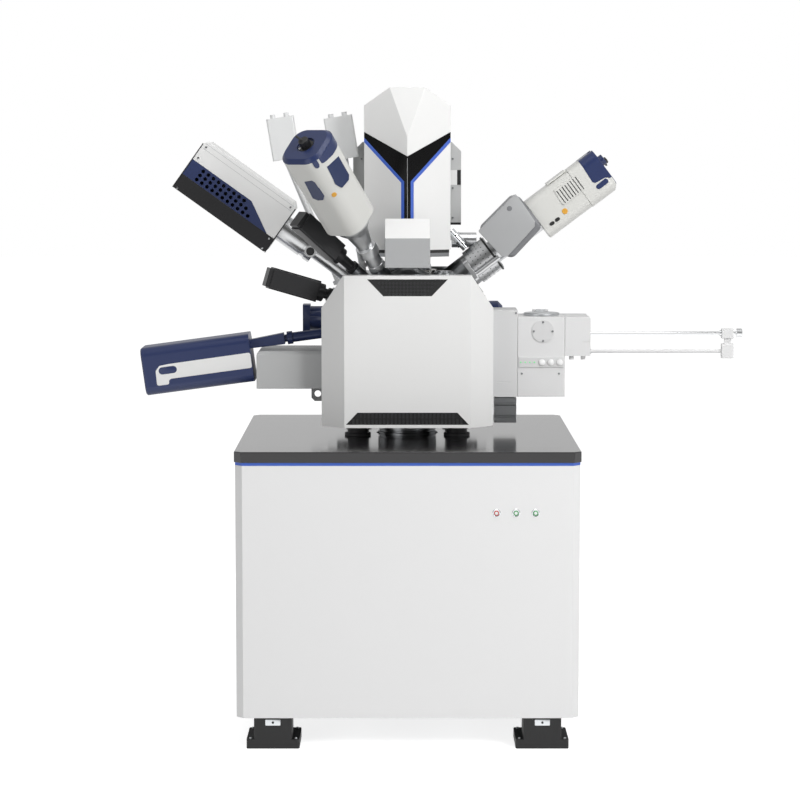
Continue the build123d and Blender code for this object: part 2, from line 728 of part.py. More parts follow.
# The pump housing behind the column stands on a bracket on the chamber
housing_front = hood_back + 6
housing_back = housing_front + 174
housing_bottom = chamber_top + 138
housing_shoulder = housing_bottom + 217
housing_top = housing_bottom + 245
with BuildPart() as rear_housing:
    plate(facing(housing_back), [(-160, housing_bottom), (160, housing_bottom), (160, housing_shoulder),
                                 (132, housing_top), (-132, housing_top), (-160, housing_shoulder)],
          housing_back - housing_front)
    block(-50, 70, housing_front + 62, chamber_back, chamber_top, housing_bottom)
    block(148, 170, housing_front + 20, housing_back - 20, housing_bottom + 162, housing_bottom + 202,
          Mode.SUBTRACT)
    for row in range(3):
        z = housing_bottom + 32 + 30 * row
        block(-90, 90, housing_back - 11, housing_back + 1, z - 4, z + 4, Mode.SUBTRACT)
save(rear_housing, "rear_housing")

# The ion column leans to the right. Its barrel has a conical nose, a silver drum and a pumping pipe
ion_line = beside(ion_slope, 1)
ion_drum_end = 316.0
gun_radius = 35.0
ion_cover_start = 473.0
ion_cover_end = 624.0
ion_end = 720.0
with BuildPart() as ion_barrel:
    turned(ion_line, [(40, 8), (130, ion_radius), (225, ion_radius), (225, 48), (240, 48), (240, 54),
                      (ion_drum_end, 54), (ion_drum_end, gun_radius), (ion_end - 40, gun_radius)])
    disc(sideways(130, 20, focus_height + 225), 22, 72)
    with BuildSketch(square_to(ion_axis, 226)):
        with Locations((-62, -18), (62, -18)):
            Circle(8)
    extrude(amount=94)
    with BuildSketch(square_to(ion_axis, 225)):
        RectangleRounded(150, 70, 10)
    extrude(amount=12)
save(ion_barrel, "ion_barrel")

# The grey drive box is clamped round the barrel
drive_box_front = -95.0
drive_box_depth = 160.0
with BuildPart() as ion_drive_box:
    with BuildSketch(facing(drive_box_front + drive_box_depth)) as drive_face:
        with BuildLine():
            Polyline([(206, focus_height + 256), (300, focus_height + 171), (391, focus_height + 268),
                      (314, focus_height + 365)], close=True)
        make_face()
        fillet(drive_face.vertices(), 20)
    extrude(amount=drive_box_depth)
    fillet(ion_drive_box.faces().sort_by(Axis.Y)[0].outer_wire().edges(), 10)
    turned(ion_line, [(100, 54 + clearance), (ion_drum_end, 54 + clearance)], Mode.SUBTRACT)
    turned(ion_line, [(ion_drum_end - 1, gun_radius), (600, gun_radius)], Mode.SUBTRACT)
    add(ion_barrel.part, mode=Mode.SUBTRACT)
    plate(ion_line.offset(-200), [(ion_cover_start, -200), (600, -200), (600, 200), (ion_cover_start, 200)], 400,
          Mode.SUBTRACT)
save(ion_drive_box, "ion_drive_box")

with BuildPart() as ion_cover:
    rounded(square_to(ion_axis, ion_cover_start), ion_cover_size, ion_cover_size, 26,
            ion_cover_end - ion_cover_start)
    rounded(square_to(ion_axis, ion_cover_start + 8), ion_cover_size - 10, ion_cover_size - 10, 21,
            ion_cover_end - ion_cover_start, Mode.SUBTRACT)
    disc(square_to(ion_axis, ion_cover_start - 1), gun_radius, 10, Mode.SUBTRACT)
save(ion_cover, "ion_cover")

with BuildPart() as ion_cap:
    rounded(square_to(ion_axis, ion_cover_end), ion_cover_size + 4, ion_cover_size + 4, 28,
            ion_end - ion_cover_end)
    chamfer(ion_cap.faces().sort_by(Axis(focus, ion_axis))[-1].outer_wire().edges(), 14)
    disc(square_to(ion_axis, ion_cover_end - 1), gun_radius, ion_end - 40 - ion_cover_end + 1, Mode.SUBTRACT)
    disc(square_to(ion_axis, ion_end, focus + Vector(0, -10, 0) + Vector(-sin(radians(ion_slope)), 0,
         cos(radians(ion_slope))) * 25), 16, 14)
save(ion_cap, "ion_cap")

# A second column leans to the left and towards the viewer
leaning_line = lengthwise(leaning_axis)
leaning_ring = 385.0
leaning_cover_start = 408.0
leaning_cover_end = 600.0
leaning_end = 701.0
with BuildPart() as side_barrel:
    turned(leaning_line, [(45, 6), (165, 20), (216, 20), (216, 25), (230, 25), (230, leaning_radius),
                          (270, leaning_radius), (270, 30), (300, 30), (300, leaning_radius), (360, 34),
                          (leaning_ring, 50), (leaning_ring + 15, 54), (leaning_ring + 15, 46),
                          (leaning_end - 60, 46)])
save(side_barrel, "side_barrel")

with BuildPart() as side_cover:
    rounded(square_to(leaning_axis, leaning_cover_start), leaning_cover_size, leaning_cover_size, 44,
            leaning_cover_end - leaning_cover_start)
    rounded(square_to(leaning_axis, leaning_cover_start + 8), leaning_cover_size - 10,
            leaning_cover_size - 10, 39, leaning_cover_end, Mode.SUBTRACT)
    disc(square_to(leaning_axis, leaning_cover_start - 1), 46, 12, Mode.SUBTRACT)
save(side_cover, "side_cover")

with BuildPart() as side_cap:
    rounded(square_to(leaning_axis, leaning_cover_end), leaning_cover_size + 3, leaning_cover_size + 3, 45,
            leaning_end - leaning_cover_end)
    chamfer(side_cap.faces().sort_by(Axis(focus, leaning))[-1].outer_wire().edges(), 10)
    disc(square_to(leaning_axis, leaning_cover_end - 1), 46, leaning_end - 60 - leaning_cover_end + 1,
         Mode.SUBTRACT)
    disc(square_to(leaning_axis, leaning_end - 6), 26, 20, Mode.SUBTRACT)
    disc(square_to(leaning_axis, leaning_end - 6), 14, 22)
save(side_cap, "side_cap")

# The X-ray detector slides along its own axis through the left shoulder of the chamber. In the plane
# beside it, x runs outward along the axis and y runs down across it
xray_line = beside(xray_slope, -1, xray_depth / 2)
xray_start = 447.0
xray_end = 774.0
xray_half = xray_width / 2
xray_wall = 4.0
chassis_line = 36.0
band_line = -15.0
band_start = 474.0
band_full = 564.0
band_edge = [(xray_start, chassis_line), (band_start, chassis_line), (band_full, band_line),
             (xray_end, band_line)]
with BuildPart() as xray_chassis:
    plate(xray_line, [(xray_start, chassis_line), (xray_end, chassis_line), (xray_end, xray_half),
                      (xray_start, xray_half)], xray_depth)
    chamfer(xray_chassis.edges().filter_by(Axis.Y).group_by(Axis.Z)[0], 5)
save(xray_chassis, "xray_chassis")

hole_radius = 6.0
with BuildPart() as xray_grille:
    plate(xray_line, [*band_edge[1:], (xray_end, chassis_line)], xray_depth)
    plate(xray_line.offset(xray_wall), [(band_start + 4, chassis_line + 1), (band_full + 1, band_line - 1),
                                        (xray_end - xray_wall, band_line - 1),
                                        (xray_end - xray_wall, chassis_line + 1)],
          xray_depth - 2 * xray_wall, Mode.SUBTRACT)
    for row, first in ((0, 548), (1, 565), (2, 582)):
        holes = 11 - row
        y = chassis_line - 10 - row * 15
        with BuildSketch(xray_line.offset(xray_depth - xray_wall - 1)):
            with Locations((first + (holes - 1) * 9, y)):
                with GridLocations(18, 1, holes, 1):
                    RegularPolygon(hole_radius, 6)
        extrude(amount=xray_wall + 2, mode=Mode.SUBTRACT)
save(xray_grille, "xray_grille")

with BuildPart() as xray_cover:
    plate(xray_line, [*band_edge, (xray_end, 14 - xray_half), (xray_end - 14, -xray_half),
                      (xray_start + 14, -xray_half), (xray_start, 14 - xray_half)], xray_depth)
    plate(xray_line.offset(xray_wall), [(xray_start + 6, chassis_line - 8), (band_start - 4, chassis_line - 8),
                                        (band_full - 4, band_line - 8), (xray_end + 1, band_line - 8),
                                        (xray_end + 1, 10 - xray_half), (xray_end - 14, xray_wall - xray_half),
                                        (xray_start + 16, xray_wall - xray_half),
                                        (xray_start + 6, 18 - xray_half)],
          xray_depth - 2 * xray_wall, Mode.SUBTRACT)
save(xray_cover, "xray_cover")

xray_tube_radius = 23.0
with BuildPart() as xray_tube:
    turned(beside(xray_slope, -1), [(60, 10), (120, xray_tube_radius), (330, xray_tube_radius), (330, 39.5),
                                    (352, 39.5), (352, 36), (366, 36), (366, 39.5), (xray_start, 39.5)])
    disc(beside(xray_slope, -1, -30).offset(0) * Pos(342, 6, 0), 17, 18)
save(xray_tube, "xray_tube")

# The diffraction camera slides nearly level through the left wall, over its slide box
camera_line = Plane(origin=camera_start, x_dir=-camera_axis, z_dir=(0, -1, 0))
with BuildPart() as camera_body:
    with BuildSketch(Plane(origin=camera_line.from_local_coords((-160, -39, 0)), x_dir=(0, 1, 0),
                           z_dir=camera_axis)) as camera_section:
        RectangleRounded(150, 140, 26)
    extrude(amount=318)
    chamfer(camera_body.faces().sort_by(Axis.X)[0].outer_wire().edges(), 4)
    plate(camera_line.offset(-20), [(-164, -15), (-164, 10), (-60, 17), (-60, -16)], 40)
    turned(camera_line, [(-70, 11), (-52, 11), (-52, 19), (-36, 19), (-36, camera_tube_radius),
                         (176, camera_tube_radius)])
save(camera_body, "camera_body")

slide_box_top = camera_start.Z - 40
slide_box_bottom = slide_box_top - 109
with BuildPart() as camera_slide_box:
    block(-chamber_half_width - 200, -chamber_half_width, -80, 150, slide_box_bottom, slide_box_top)
    chamfer(camera_slide_box.faces().sort_by(Axis.Z)[-1].edges(), 9)
    lug_left = -chamber_half_width - 48
    lug_bottom = slide_box_bottom - 57
    plate(facing(140), [(lug_left, slide_box_bottom), (lug_left, lug_bottom + 10), (lug_left + 10, lug_bottom),
                        (lug_left + 36, lug_bottom), (-chamber_half_width, lug_bottom + 10),
                        (-chamber_half_width, slide_box_bottom)], 14)
    disc(facing(141, lug_left + 19, lug_bottom + 22), 10, 16, Mode.SUBTRACT)
save(camera_slide_box, "camera_slide_box")

# Two motor-driven arms point at the sample from the front left
with BuildPart() as manipulators:
    for axis, tip, seat, motor, length, size in ((upper_arm_axis, 90, 230, 305, 157, 58),
                                                 (lower_arm_axis, 115, 236, 281, 155, 63)):
        turned(lengthwise((axis.X, axis.Y, axis.Z)), [(tip, 2), (tip + 30, 7), (seat, 7), (seat, 20),
                                                      (seat + 12, 20), (seat + 12, 15), (motor - 20, 15),
                                                      (motor - 20, 26), (motor, 26)])
        rounded(square_to(axis, motor), size, size, 6, length - 12)
        rounded(square_to(axis, motor + length - 12), size - 8, size - 8, 4, 12)
save(manipulators, "manipulators")

# Two gas injectors stand behind, on slender stems
with BuildPart() as gas_injectors:
    for foot, head, width in (((-196, 120, chamber_top - 48), (-356, 120, chamber_top + 331), 80),
                              ((-130, 88, chamber_top), (-184, 88, chamber_top + 333), 84)):
        base = Vector(column_x, 0, 0) + Vector(*foot)
        up = (Vector(*head) - Vector(*foot)).normalized()
        reach = (Vector(*head) - Vector(*foot)).length
        lean = Vector(-0.16, 0, 0.987)
        disc(square_to(up, -4, base), 10, reach + 14)
        disc(square_to(up, 14, base), 17, 12)
        top = Plane(origin=base + up * reach, x_dir=(lean.Z, 0, -lean.X), z_dir=lean)
        rounded(top, width, 60, 6, 125)
        for x in (-20, 20):
            with BuildSketch(top.offset(125)):
                with Locations((x, 0)):
                    Circle(8)
            extrude(amount=11)
    add(chamber_body.part, mode=Mode.SUBTRACT)
save(gas_injectors, "gas_injectors")

# Two detectors stand out of the side walls at the rear
with BuildPart() as rear_detectors:
    disc(sideways(chamber_half_width, 137, focus_height), 40, 46)
    chamfer(rear_detectors.faces().sort_by(Axis.X)[-1].edges(), 14)
    disc(sideways(-chamber_half_width, 137, focus_height - 12), 36, -50)
    rounded(sideways(-chamber_half_width - 50, 137, focus_height - 12), 70, 84, 8, -22)
save(rear_detectors, "rear_detectors")

# The airlock: a valve housing with a sliding gate, and a load-lock box with a round lid
airlock_half = airlock_depth / 2
valve_end = 321.0
valve_bottom = rod_height - 180
valve_top = rod_height + 71
box_end = 458.0
box_top = rod_height + 53
box_wall = 10.0
gate_x = 278.0
gate_thickness = 12.0
gate_half_width = window_half_width + 10
gate_height = 80.0
gate_travel = 78.0
with BuildPart() as valve_housing:
    block(chamber_half_width, valve_end, -airlock_half, airlock_half, valve_bottom, valve_top)
    chamfer(valve_housing.edges().filter_by(Axis.Z), 3)
    block(chamber_half_width - 1, valve_end + 1, -window_half_width, window_half_width, window_bottom,
          window_top, Mode.SUBTRACT)
    block(gate_x, gate_x + gate_thickness + 2 * clearance, -gate_half_width - clearance,
          gate_half_width + clearance, window_bottom - gate_travel - 20, window_top + 12, Mode.SUBTRACT)
    block(chamber_half_width + 20, 300, -airlock_half - 1, -airlock_half + 1, valve_bottom + 42,
          valve_bottom + 44, Mode.SUBTRACT)
save(valve_housing, "valve_housing")

# The gate is parked below the window; it stands on the rod of its drive
gate_bottom = window_bottom - gate_height - 6
with BuildPart() as gate_plate:
    block(gate_x + clearance, gate_x + clearance + gate_thickness, -gate_half_width, gate_half_width,
          gate_bottom, gate_bottom + gate_height)
save(gate_plate, "gate_plate")

# The gate's drive is a length of slotted profile below the valve housing
drive_top = valve_bottom - 11
drive_bottom = drive_top - 73
drive_back = 76.0
slot_mouth = 8.0
with BuildPart() as gate_drive:
    block(256, valve_end, 0, drive_back, drive_bottom, drive_top)
    for z in (drive_bottom + 18, drive_top - 18):
        block(250, valve_end + 6, -1, 5, z - slot_mouth / 2, z + slot_mouth / 2, Mode.SUBTRACT)
        block(250, valve_end + 6, 5, 9, z - slot_mouth, z + slot_mouth, Mode.SUBTRACT)
    for y in (20, drive_back - 20):
        block(250, valve_end + 6, y - slot_mouth / 2, y + slot_mouth / 2, drive_bottom - 1, drive_bottom + 6,
              Mode.SUBTRACT)
    block(262, 315, 8, 68, drive_top, valve_bottom)
save(gate_drive, "gate_drive")

panel_bottom = rod_height - 94
panel_top = panel_bottom + 30
panel_middle = (panel_bottom + panel_top) / 2
panel_thickness = 3.0
panel_button_radius = 9.0
panel_button_xs = [391.0, 417.0, 443.0]
cavity_end = 448.0
cavity_half_width = 55.0
lid_x = 393.0
lid_radius = 52.5
lid_thickness = 8.0
lid_hole_radius = 40.0
hinge_y = lid_radius + 8
hinge_z = box_top + 9
with BuildPart() as airlock_box:
    block(valve_end, box_end, -airlock_half, airlock_half, valve_bottom, box_top)
    chamfer(airlock_box.edges().filter_by(Axis.Z).group_by(Axis.X)[-1], 3)
    block(valve_end + box_wall, cavity_end, -cavity_half_width, cavity_half_width, window_bottom - 10,
          box_top - box_wall, Mode.SUBTRACT)
    block(valve_end - 1, valve_end + box_wall + 1, -window_half_width, window_half_width, window_bottom,
          window_top, Mode.SUBTRACT)
    disc(level(box_top - box_wall - 1, lid_x), lid_hole_radius, box_wall + 2, Mode.SUBTRACT)
    disc(sideways(cavity_end - 1, 0, rod_height), rod_radius + running, 20, Mode.SUBTRACT)
    for x in panel_button_xs:
        disc(facing(-airlock_half + 12, x, panel_middle), panel_button_radius + clearance, 20, Mode.SUBTRACT)
    for x in (lid_x - 24, lid_x + 15):
        block(x, x + 9, hinge_y - 5, hinge_y + 5, box_top, hinge_z)
        disc(sideways(x, hinge_y, hinge_z), 5, 9)
    disc(sideways(lid_x - 24, hinge_y, hinge_z), 2.5, 48)
save(airlock_box, "airlock_box")

# The lid turns up on a hinge at the back of the box
with BuildPart() as airlock_lid:
    disc(level(box_top + clearance, lid_x), lid_radius, lid_thickness)
    chamfer(airlock_lid.faces().sort_by(Axis.Z)[-1].edges(), 2)
    block(lid_x - 14, lid_x + 14, 30, hinge_y, box_top + 4, box_top + clearance + lid_thickness)
    disc(sideways(lid_x - 14, hinge_y, hinge_z), 5, 28)
    disc(sideways(lid_x - 15, hinge_y, hinge_z), 2.5 + running, 30, Mode.SUBTRACT)
save(airlock_lid, "airlock_lid")

with BuildPart() as control_panel:
    block(valve_end + 3, box_end - 3, -airlock_half - panel_thickness, -airlock_half, panel_bottom, panel_top)
    chamfer(control_panel.faces().sort_by(Axis.Y)[0].edges(), 1)
    for x in panel_button_xs:
        disc(facing(-airlock_half + 1, x, panel_middle), panel_button_radius + clearance, 6, Mode.SUBTRACT)
    disc(facing(-airlock_half, lid_x, rod_height + 11), 32, panel_thickness)
save(control_panel, "control_panel")

for number, x in enumerate(panel_button_xs, 1):
    with BuildPart() as panel_button:
        disc(facing(-airlock_half + 8, x, panel_middle), panel_button_radius, 8 + panel_thickness + 4)
        chamfer(panel_button.faces().sort_by(Axis.Y)[0].edges(), 0.8)
    save(panel_button, f"panel_button_{number}")

# The guide block holds the fixed lower rod, seated in a blind hole; the carriage on that rod pushes and
# turns the transfer rod
guide_block_end = 532.0
guide_block_bottom = rod_height - 61
guide_rod_end = 956.0
guide_rod_seat = 22.0
guide_collar_radius = 7.5
guide_collar_length = 8.0
carriage_x = 921.0
carriage_length = 34.0
carriage_half_width = 14.0
rod_tip = 440.0
knob_x = 964.0
knob_length = 17.0
with BuildPart() as guide_block:
    plate(facing(airlock_half), [(box_end, guide_block_bottom), (guide_block_end, guide_block_bottom),
                                 (guide_block_end, box_top - 4), (guide_block_end - 4, box_top),
                                 (box_end, box_top)], airlock_depth)
    disc(sideways(box_end - 1, 0, rod_height), rod_radius + running, 90, Mode.SUBTRACT)
    block(507, guide_block_end + 1, -airlock_half - 1, -airlock_half + 1.5, rod_height - 20, rod_height - 18,
          Mode.SUBTRACT)
    for x in (478, 512):
        disc(level(guide_block_bottom - 12, x, -50), 7, 12)
    disc(sideways(guide_block_end, 0, guide_rod_height), guide_collar_radius, guide_collar_length)
    disc(sideways(guide_block_end - guide_rod_seat - 1, 0, guide_rod_height), guide_rod_radius,
         guide_rod_seat + guide_collar_length + 2, Mode.SUBTRACT)
with BuildPart() as guide_rod:
    disc(sideways(guide_block_end - guide_rod_seat, 0, guide_rod_height), guide_rod_radius,
         guide_rod_seat + guide_rod_end - guide_block_end)
save_together((guide_block, guide_rod), "guide_block")

with BuildPart() as transfer_carriage:
    block(carriage_x, carriage_x + carriage_length, -carriage_half_width, carriage_half_width,
          rod_height - 15, rod_height + 13)
    block(carriage_x + 8, carriage_x + carriage_length - 6, -6, 6, guide_rod_height + 18, rod_height - 13)
    block(carriage_x, carriage_x + carriage_length, -carriage_half_width, carriage_half_width,
          guide_rod_height - 20, guide_rod_height + 22)
    chamfer(transfer_carriage.edges().filter_by(Axis.X), 2)
    disc(sideways(carriage_x - 1, 0, rod_height), rod_radius + running, carriage_length + 2, Mode.SUBTRACT)
    disc(sideways(carriage_x - 1, 0, guide_rod_height), guide_rod_radius + running, carriage_length + 2,
         Mode.SUBTRACT)
save(transfer_carriage, "transfer_carriage")

with BuildPart() as transfer_rod:
    disc(sideways(rod_tip, 0, rod_height), rod_radius, knob_x - rod_tip)
    disc(sideways(knob_x, 0, rod_height), 14, knob_length)
    chamfer(transfer_rod.faces().sort_by(Axis.X)[-1].edges(), 2)
    with BuildSketch(sideways(knob_x - 1, 0, rod_height)):
        with PolarLocations(14.6, 12):
            Circle(1.8)
    extrude(amount=knob_length + 2, mode=Mode.SUBTRACT)
    disc(sideways(carriage_x - 6, 0, rod_height), 9, 5.8)
save(transfer_rod, "transfer_rod")
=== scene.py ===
import json
import math

import bmesh
import bpy
from mathutils import Matrix, Vector

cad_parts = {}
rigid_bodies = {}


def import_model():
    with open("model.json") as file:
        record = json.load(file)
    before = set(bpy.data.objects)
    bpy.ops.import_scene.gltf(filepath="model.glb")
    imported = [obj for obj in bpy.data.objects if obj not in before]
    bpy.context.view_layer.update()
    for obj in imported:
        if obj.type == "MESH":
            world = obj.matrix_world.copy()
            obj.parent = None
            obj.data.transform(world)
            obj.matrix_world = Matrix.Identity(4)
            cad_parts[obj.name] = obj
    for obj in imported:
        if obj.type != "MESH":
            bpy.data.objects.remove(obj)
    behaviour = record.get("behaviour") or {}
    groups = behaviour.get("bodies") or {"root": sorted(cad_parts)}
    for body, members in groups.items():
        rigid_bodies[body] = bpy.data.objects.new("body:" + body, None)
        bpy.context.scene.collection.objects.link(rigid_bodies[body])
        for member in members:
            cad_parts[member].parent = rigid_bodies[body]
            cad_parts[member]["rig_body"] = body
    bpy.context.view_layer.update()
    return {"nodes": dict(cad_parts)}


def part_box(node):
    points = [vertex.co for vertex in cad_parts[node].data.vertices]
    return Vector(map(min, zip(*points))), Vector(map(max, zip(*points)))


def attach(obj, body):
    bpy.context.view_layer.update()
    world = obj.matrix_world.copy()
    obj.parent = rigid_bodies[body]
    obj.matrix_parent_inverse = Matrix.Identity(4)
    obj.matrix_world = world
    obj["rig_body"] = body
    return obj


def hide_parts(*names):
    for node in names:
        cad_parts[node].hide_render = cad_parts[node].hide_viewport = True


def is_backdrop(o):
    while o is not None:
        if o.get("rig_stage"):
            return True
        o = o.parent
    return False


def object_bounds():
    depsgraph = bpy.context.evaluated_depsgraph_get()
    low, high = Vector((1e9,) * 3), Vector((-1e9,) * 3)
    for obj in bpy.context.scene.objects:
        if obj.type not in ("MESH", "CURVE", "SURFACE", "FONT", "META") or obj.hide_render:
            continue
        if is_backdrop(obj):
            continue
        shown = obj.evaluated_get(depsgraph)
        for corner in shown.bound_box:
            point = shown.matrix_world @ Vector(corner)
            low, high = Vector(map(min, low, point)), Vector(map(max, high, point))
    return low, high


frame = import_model()
scene = bpy.context.scene

# Camera: a little above the instrument's middle, looking slightly down, as in the photo
camera_data = bpy.data.cameras.new("camera")
camera_data.lens = 111.58
camera_data.sensor_width = 36
camera = bpy.data.objects.new("camera", camera_data)
camera.location = (-0.1262, -7.2491, 1.6720)
camera.rotation_euler = (math.radians(90 - 5.8594), 0, 0)
scene.collection.objects.link(camera)
scene.camera = camera
scene.view_settings.view_transform = "Standard"


# World and lamps: a white studio, lit softly from the right front, with a weaker lamp on the left
def linear(code):
    """A six-digit sRGB colour as linear red, green, blue and alpha."""
    parts = [int(code[i:i + 2], 16) / 255 for i in (0, 2, 4)]
    return tuple(c / 12.92 if c <= 0.04045 else ((c + 0.055) / 1.055) ** 2.4 for c in parts) + (1.0,)


def add(tree, kind, inputs=None, **settings):
    """A node of a kind with its settings; each input takes a value or the socket that feeds it."""
    node = tree.nodes.new(kind)
    for name, value in settings.items():
        setattr(node, name, value)
    for name, value in (inputs or {}).items():
        if isinstance(value, bpy.types.NodeSocket):
            tree.links.new(value, node.inputs[name])
        else:
            node.inputs[name].default_value = value
    return node


world = bpy.data.worlds.new("studio")
world.use_nodes = True
world.node_tree.nodes.clear()
scene.world = world
paths = add(world.node_tree, "ShaderNodeLightPath")
direction = add(world.node_tree, "ShaderNodeTexCoord")
heading = add(world.node_tree, "ShaderNodeSeparateXYZ", {0: direction.outputs["Generated"]})
behind = add(world.node_tree, "ShaderNodeMapRange", {"Value": heading.outputs["Y"], "From Min": -0.30,
                                                     "From Max": 0.10, "To Min": 0.06, "To Max": 0.72})
ceiling = add(world.node_tree, "ShaderNodeMapRange", {"Value": heading.outputs["Z"], "From Min": 0.30,
                                                      "From Max": 0.62, "To Min": 0.0, "To Max": 0.75})
mirrored = add(world.node_tree, "ShaderNodeMath", {0: behind.outputs[0], 1: ceiling.outputs[0]},
               operation="MAXIMUM")
seen = add(world.node_tree, "ShaderNodeMath", {0: paths.outputs["Is Camera Ray"],
                                                1: paths.outputs["Is Transmission Ray"]},
           operation="MAXIMUM")
glossy = add(world.node_tree, "ShaderNodeMix", {0: paths.outputs["Is Glossy Ray"], 2: 0.34,
                                                 3: mirrored.outputs[0]})
level = add(world.node_tree, "ShaderNodeMix", {0: seen.outputs[0], 2: glossy.outputs[0], 3: 1.0})
sky = add(world.node_tree, "ShaderNodeBackground", {"Color": (1, 1, 1, 1), "Strength": level.outputs[0]})
add(world.node_tree, "ShaderNodeOutputWorld", {"Surface": sky.outputs[0]})

for name, place, target, size, power in (
    ("key_lamp", (3.0, -3.5, 2.9), (-0.1, 0, 1.0), 1.9, 117),
    ("fill_lamp", (-3.2, -3.9, 1.6), (-0.1, 0, 0.9), 2.6, 34),
    ("top_lamp", (0.3, -1.6, 4.4), (-0.1, 0, 1.2), 1.8, 42),
):
    lamp_data = bpy.data.lights.new(name, "AREA")
    lamp_data.shape = "DISK"
    lamp_data.size = size
    lamp_data.energy = power
    lamp = bpy.data.objects.new(name, lamp_data)
    lamp.location = place
    lamp.rotation_euler = (Vector(target) - Vector(place)).to_track_quat("-Z", "Y").to_euler()
    scene.collection.objects.link(lamp)


# Floor: plain and pale, bright enough to meet the white behind it, and it keeps the shadow
floor_mesh = bpy.data.meshes.new("floor")
floor_half = 30.0
floor_mesh.from_pydata([(-floor_half, -floor_half, 0), (floor_half, -floor_half, 0),
                        (floor_half, floor_half, 0), (-floor_half, floor_half, 0)], [], [(0, 1, 2, 3)])
floor = bpy.data.objects.new("floor", floor_mesh)
scene.collection.objects.link(floor)
floor_paint = bpy.data.materials.new("floor_paper")
floor_paint.use_nodes = True
floor_tree = floor_paint.node_tree
floor_tree.nodes.clear()
floor_paths = add(floor_tree, "ShaderNodeLightPath")
floor_seen = add(floor_tree, "ShaderNodeMath", {0: floor_paths.outputs["Is Camera Ray"],
                                                1: floor_paths.outputs["Is Glossy Ray"]},
                 operation="MAXIMUM")
floor_glow = add(floor_tree, "ShaderNodeEmission", {"Color": (1, 1, 1, 1)})
floor_level = add(floor_tree, "ShaderNodeMath", {0: floor_seen.outputs[0], 1: 0.80}, operation="MULTIPLY")
floor_tree.links.new(floor_level.outputs[0], floor_glow.inputs["Strength"])
floor_matt = add(floor_tree, "ShaderNodeBsdfDiffuse", {"Color": linear("E6E6E6")})
floor_sum = add(floor_tree, "ShaderNodeAddShader", {0: floor_glow.outputs[0], 1: floor_matt.outputs[0]})
add(floor_tree, "ShaderNodeOutputMaterial", {"Surface": floor_sum.outputs[0]})
floor_mesh.materials.append(floor_paint)
floor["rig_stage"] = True


# Table: a thick slab with bevelled edges, covered in charcoal lacquer that mirrors the pale room
# at a low angle; a frosted blue diffuser ring glows faintly under its edge
def finish(name, colour, roughness, metallic=0.0, coat=0.0, grain=0.0, grain_depth=0.0, stretch=None,
           tint=0.0, glow=0.0):
    """A surface finish: its own colour, and a grain of a real size in metres that roughens it."""
    material = bpy.data.materials.new(name)
    material.use_nodes = True
    tree = material.node_tree
    tree.nodes.clear()
    shader = add(tree, "ShaderNodeBsdfPrincipled", {
        "Base Color": linear(colour), "Roughness": roughness, "Metallic": metallic, "Coat Weight": coat,
        "Coat Roughness": 0.08, "Emission Color": linear(colour), "Emission Strength": glow})
    if grain:
        place = add(tree, "ShaderNodeTexCoord")
        spread = add(tree, "ShaderNodeMapping", {"Vector": place.outputs["Object"],
                                                 "Scale": stretch or (1, 1, 1)})
        noise = add(tree, "ShaderNodeTexNoise", {"Vector": spread.outputs[0], "Scale": 1 / grain,
                                                 "Detail": 3.0})
        bump = add(tree, "ShaderNodeBump", {"Height": noise.outputs[0], "Strength": 1.0,
                                            "Distance": grain_depth})
        tree.links.new(bump.outputs[0], shader.inputs["Normal"])
        if tint:
            wide = add(tree, "ShaderNodeTexNoise", {"Vector": place.outputs["Object"], "Scale": 9.0,
                                                    "Detail": 2.0})
            shade = add(tree, "ShaderNodeMapRange", {"Value": wide.outputs[0], "To Min": 1 - tint,
                                                     "To Max": 1 + tint})
            mixed = add(tree, "ShaderNodeVectorMath", {0: linear(colour)[:3], 3: shade.outputs[0]},
                        operation="SCALE")
            tree.links.new(mixed.outputs[0], shader.inputs["Base Color"])
    add(tree, "ShaderNodeOutputMaterial", {"Surface": shader.outputs[0]})
    return material


def keep(mesh, name, material, body, angle=32):
    """Shows a mesh as a piece of a body: smooth across shallow edges and sharp across the others."""
    mesh.materials.clear()
    mesh.materials.append(material)
    if not mesh.has_custom_normals:
        mesh.shade_smooth()
        mesh.set_sharp_from_angle(angle=math.radians(angle))
    piece = bpy.data.objects.new(name, mesh)
    scene.collection.objects.link(piece)
    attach(piece, body)
    return piece


def eased(node, material, width=0.0008, segments=2, fold=34):
    """A copy of a CAD part with its edges above a fold angle slightly rounded, shown in place of it."""
    source = frame["nodes"][node]
    form = bmesh.new()
    form.from_mesh(source.data)
    bmesh.ops.remove_doubles(form, verts=form.verts, dist=1e-6)
    bmesh.ops.dissolve_limit(form, angle_limit=math.radians(0.8), verts=form.verts, edges=form.edges)
    bmesh.ops.recalc_face_normals(form, faces=form.faces)
    plain = bpy.data.meshes.new(node)
    form.to_mesh(plain)
    form.free()
    plain.shade_smooth()
    plain.set_sharp_from_angle(angle=math.radians(fold))
    if width:
        rough = bpy.data.objects.new(node + "_rough", plain)
        scene.collection.objects.link(rough)
        bevel = rough.modifiers.new("bevel", "BEVEL")
        bevel.width = width
        bevel.segments = segments
        bevel.limit_method = "ANGLE"
        bevel.angle_limit = math.radians(fold)
        bevel.harden_normals = True
        rough.modifiers.new("even_normals", "WEIGHTED_NORMAL").keep_sharp = True
        evaluated = rough.evaluated_get(bpy.context.evaluated_depsgraph_get())
        plain = bpy.data.meshes.new_from_object(evaluated)
        bpy.data.objects.remove(rough)
    piece = keep(plain, node + "_skin", material, source["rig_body"], fold)
    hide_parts(node)
    return piece


# Charcoal lacquer over board: sprayed and polished, so it mirrors softly at a low angle
charcoal_lacquer = finish("charcoal_lacquer", "232224", 0.16, coat=0.4, grain=0.002, grain_depth=0.000004)
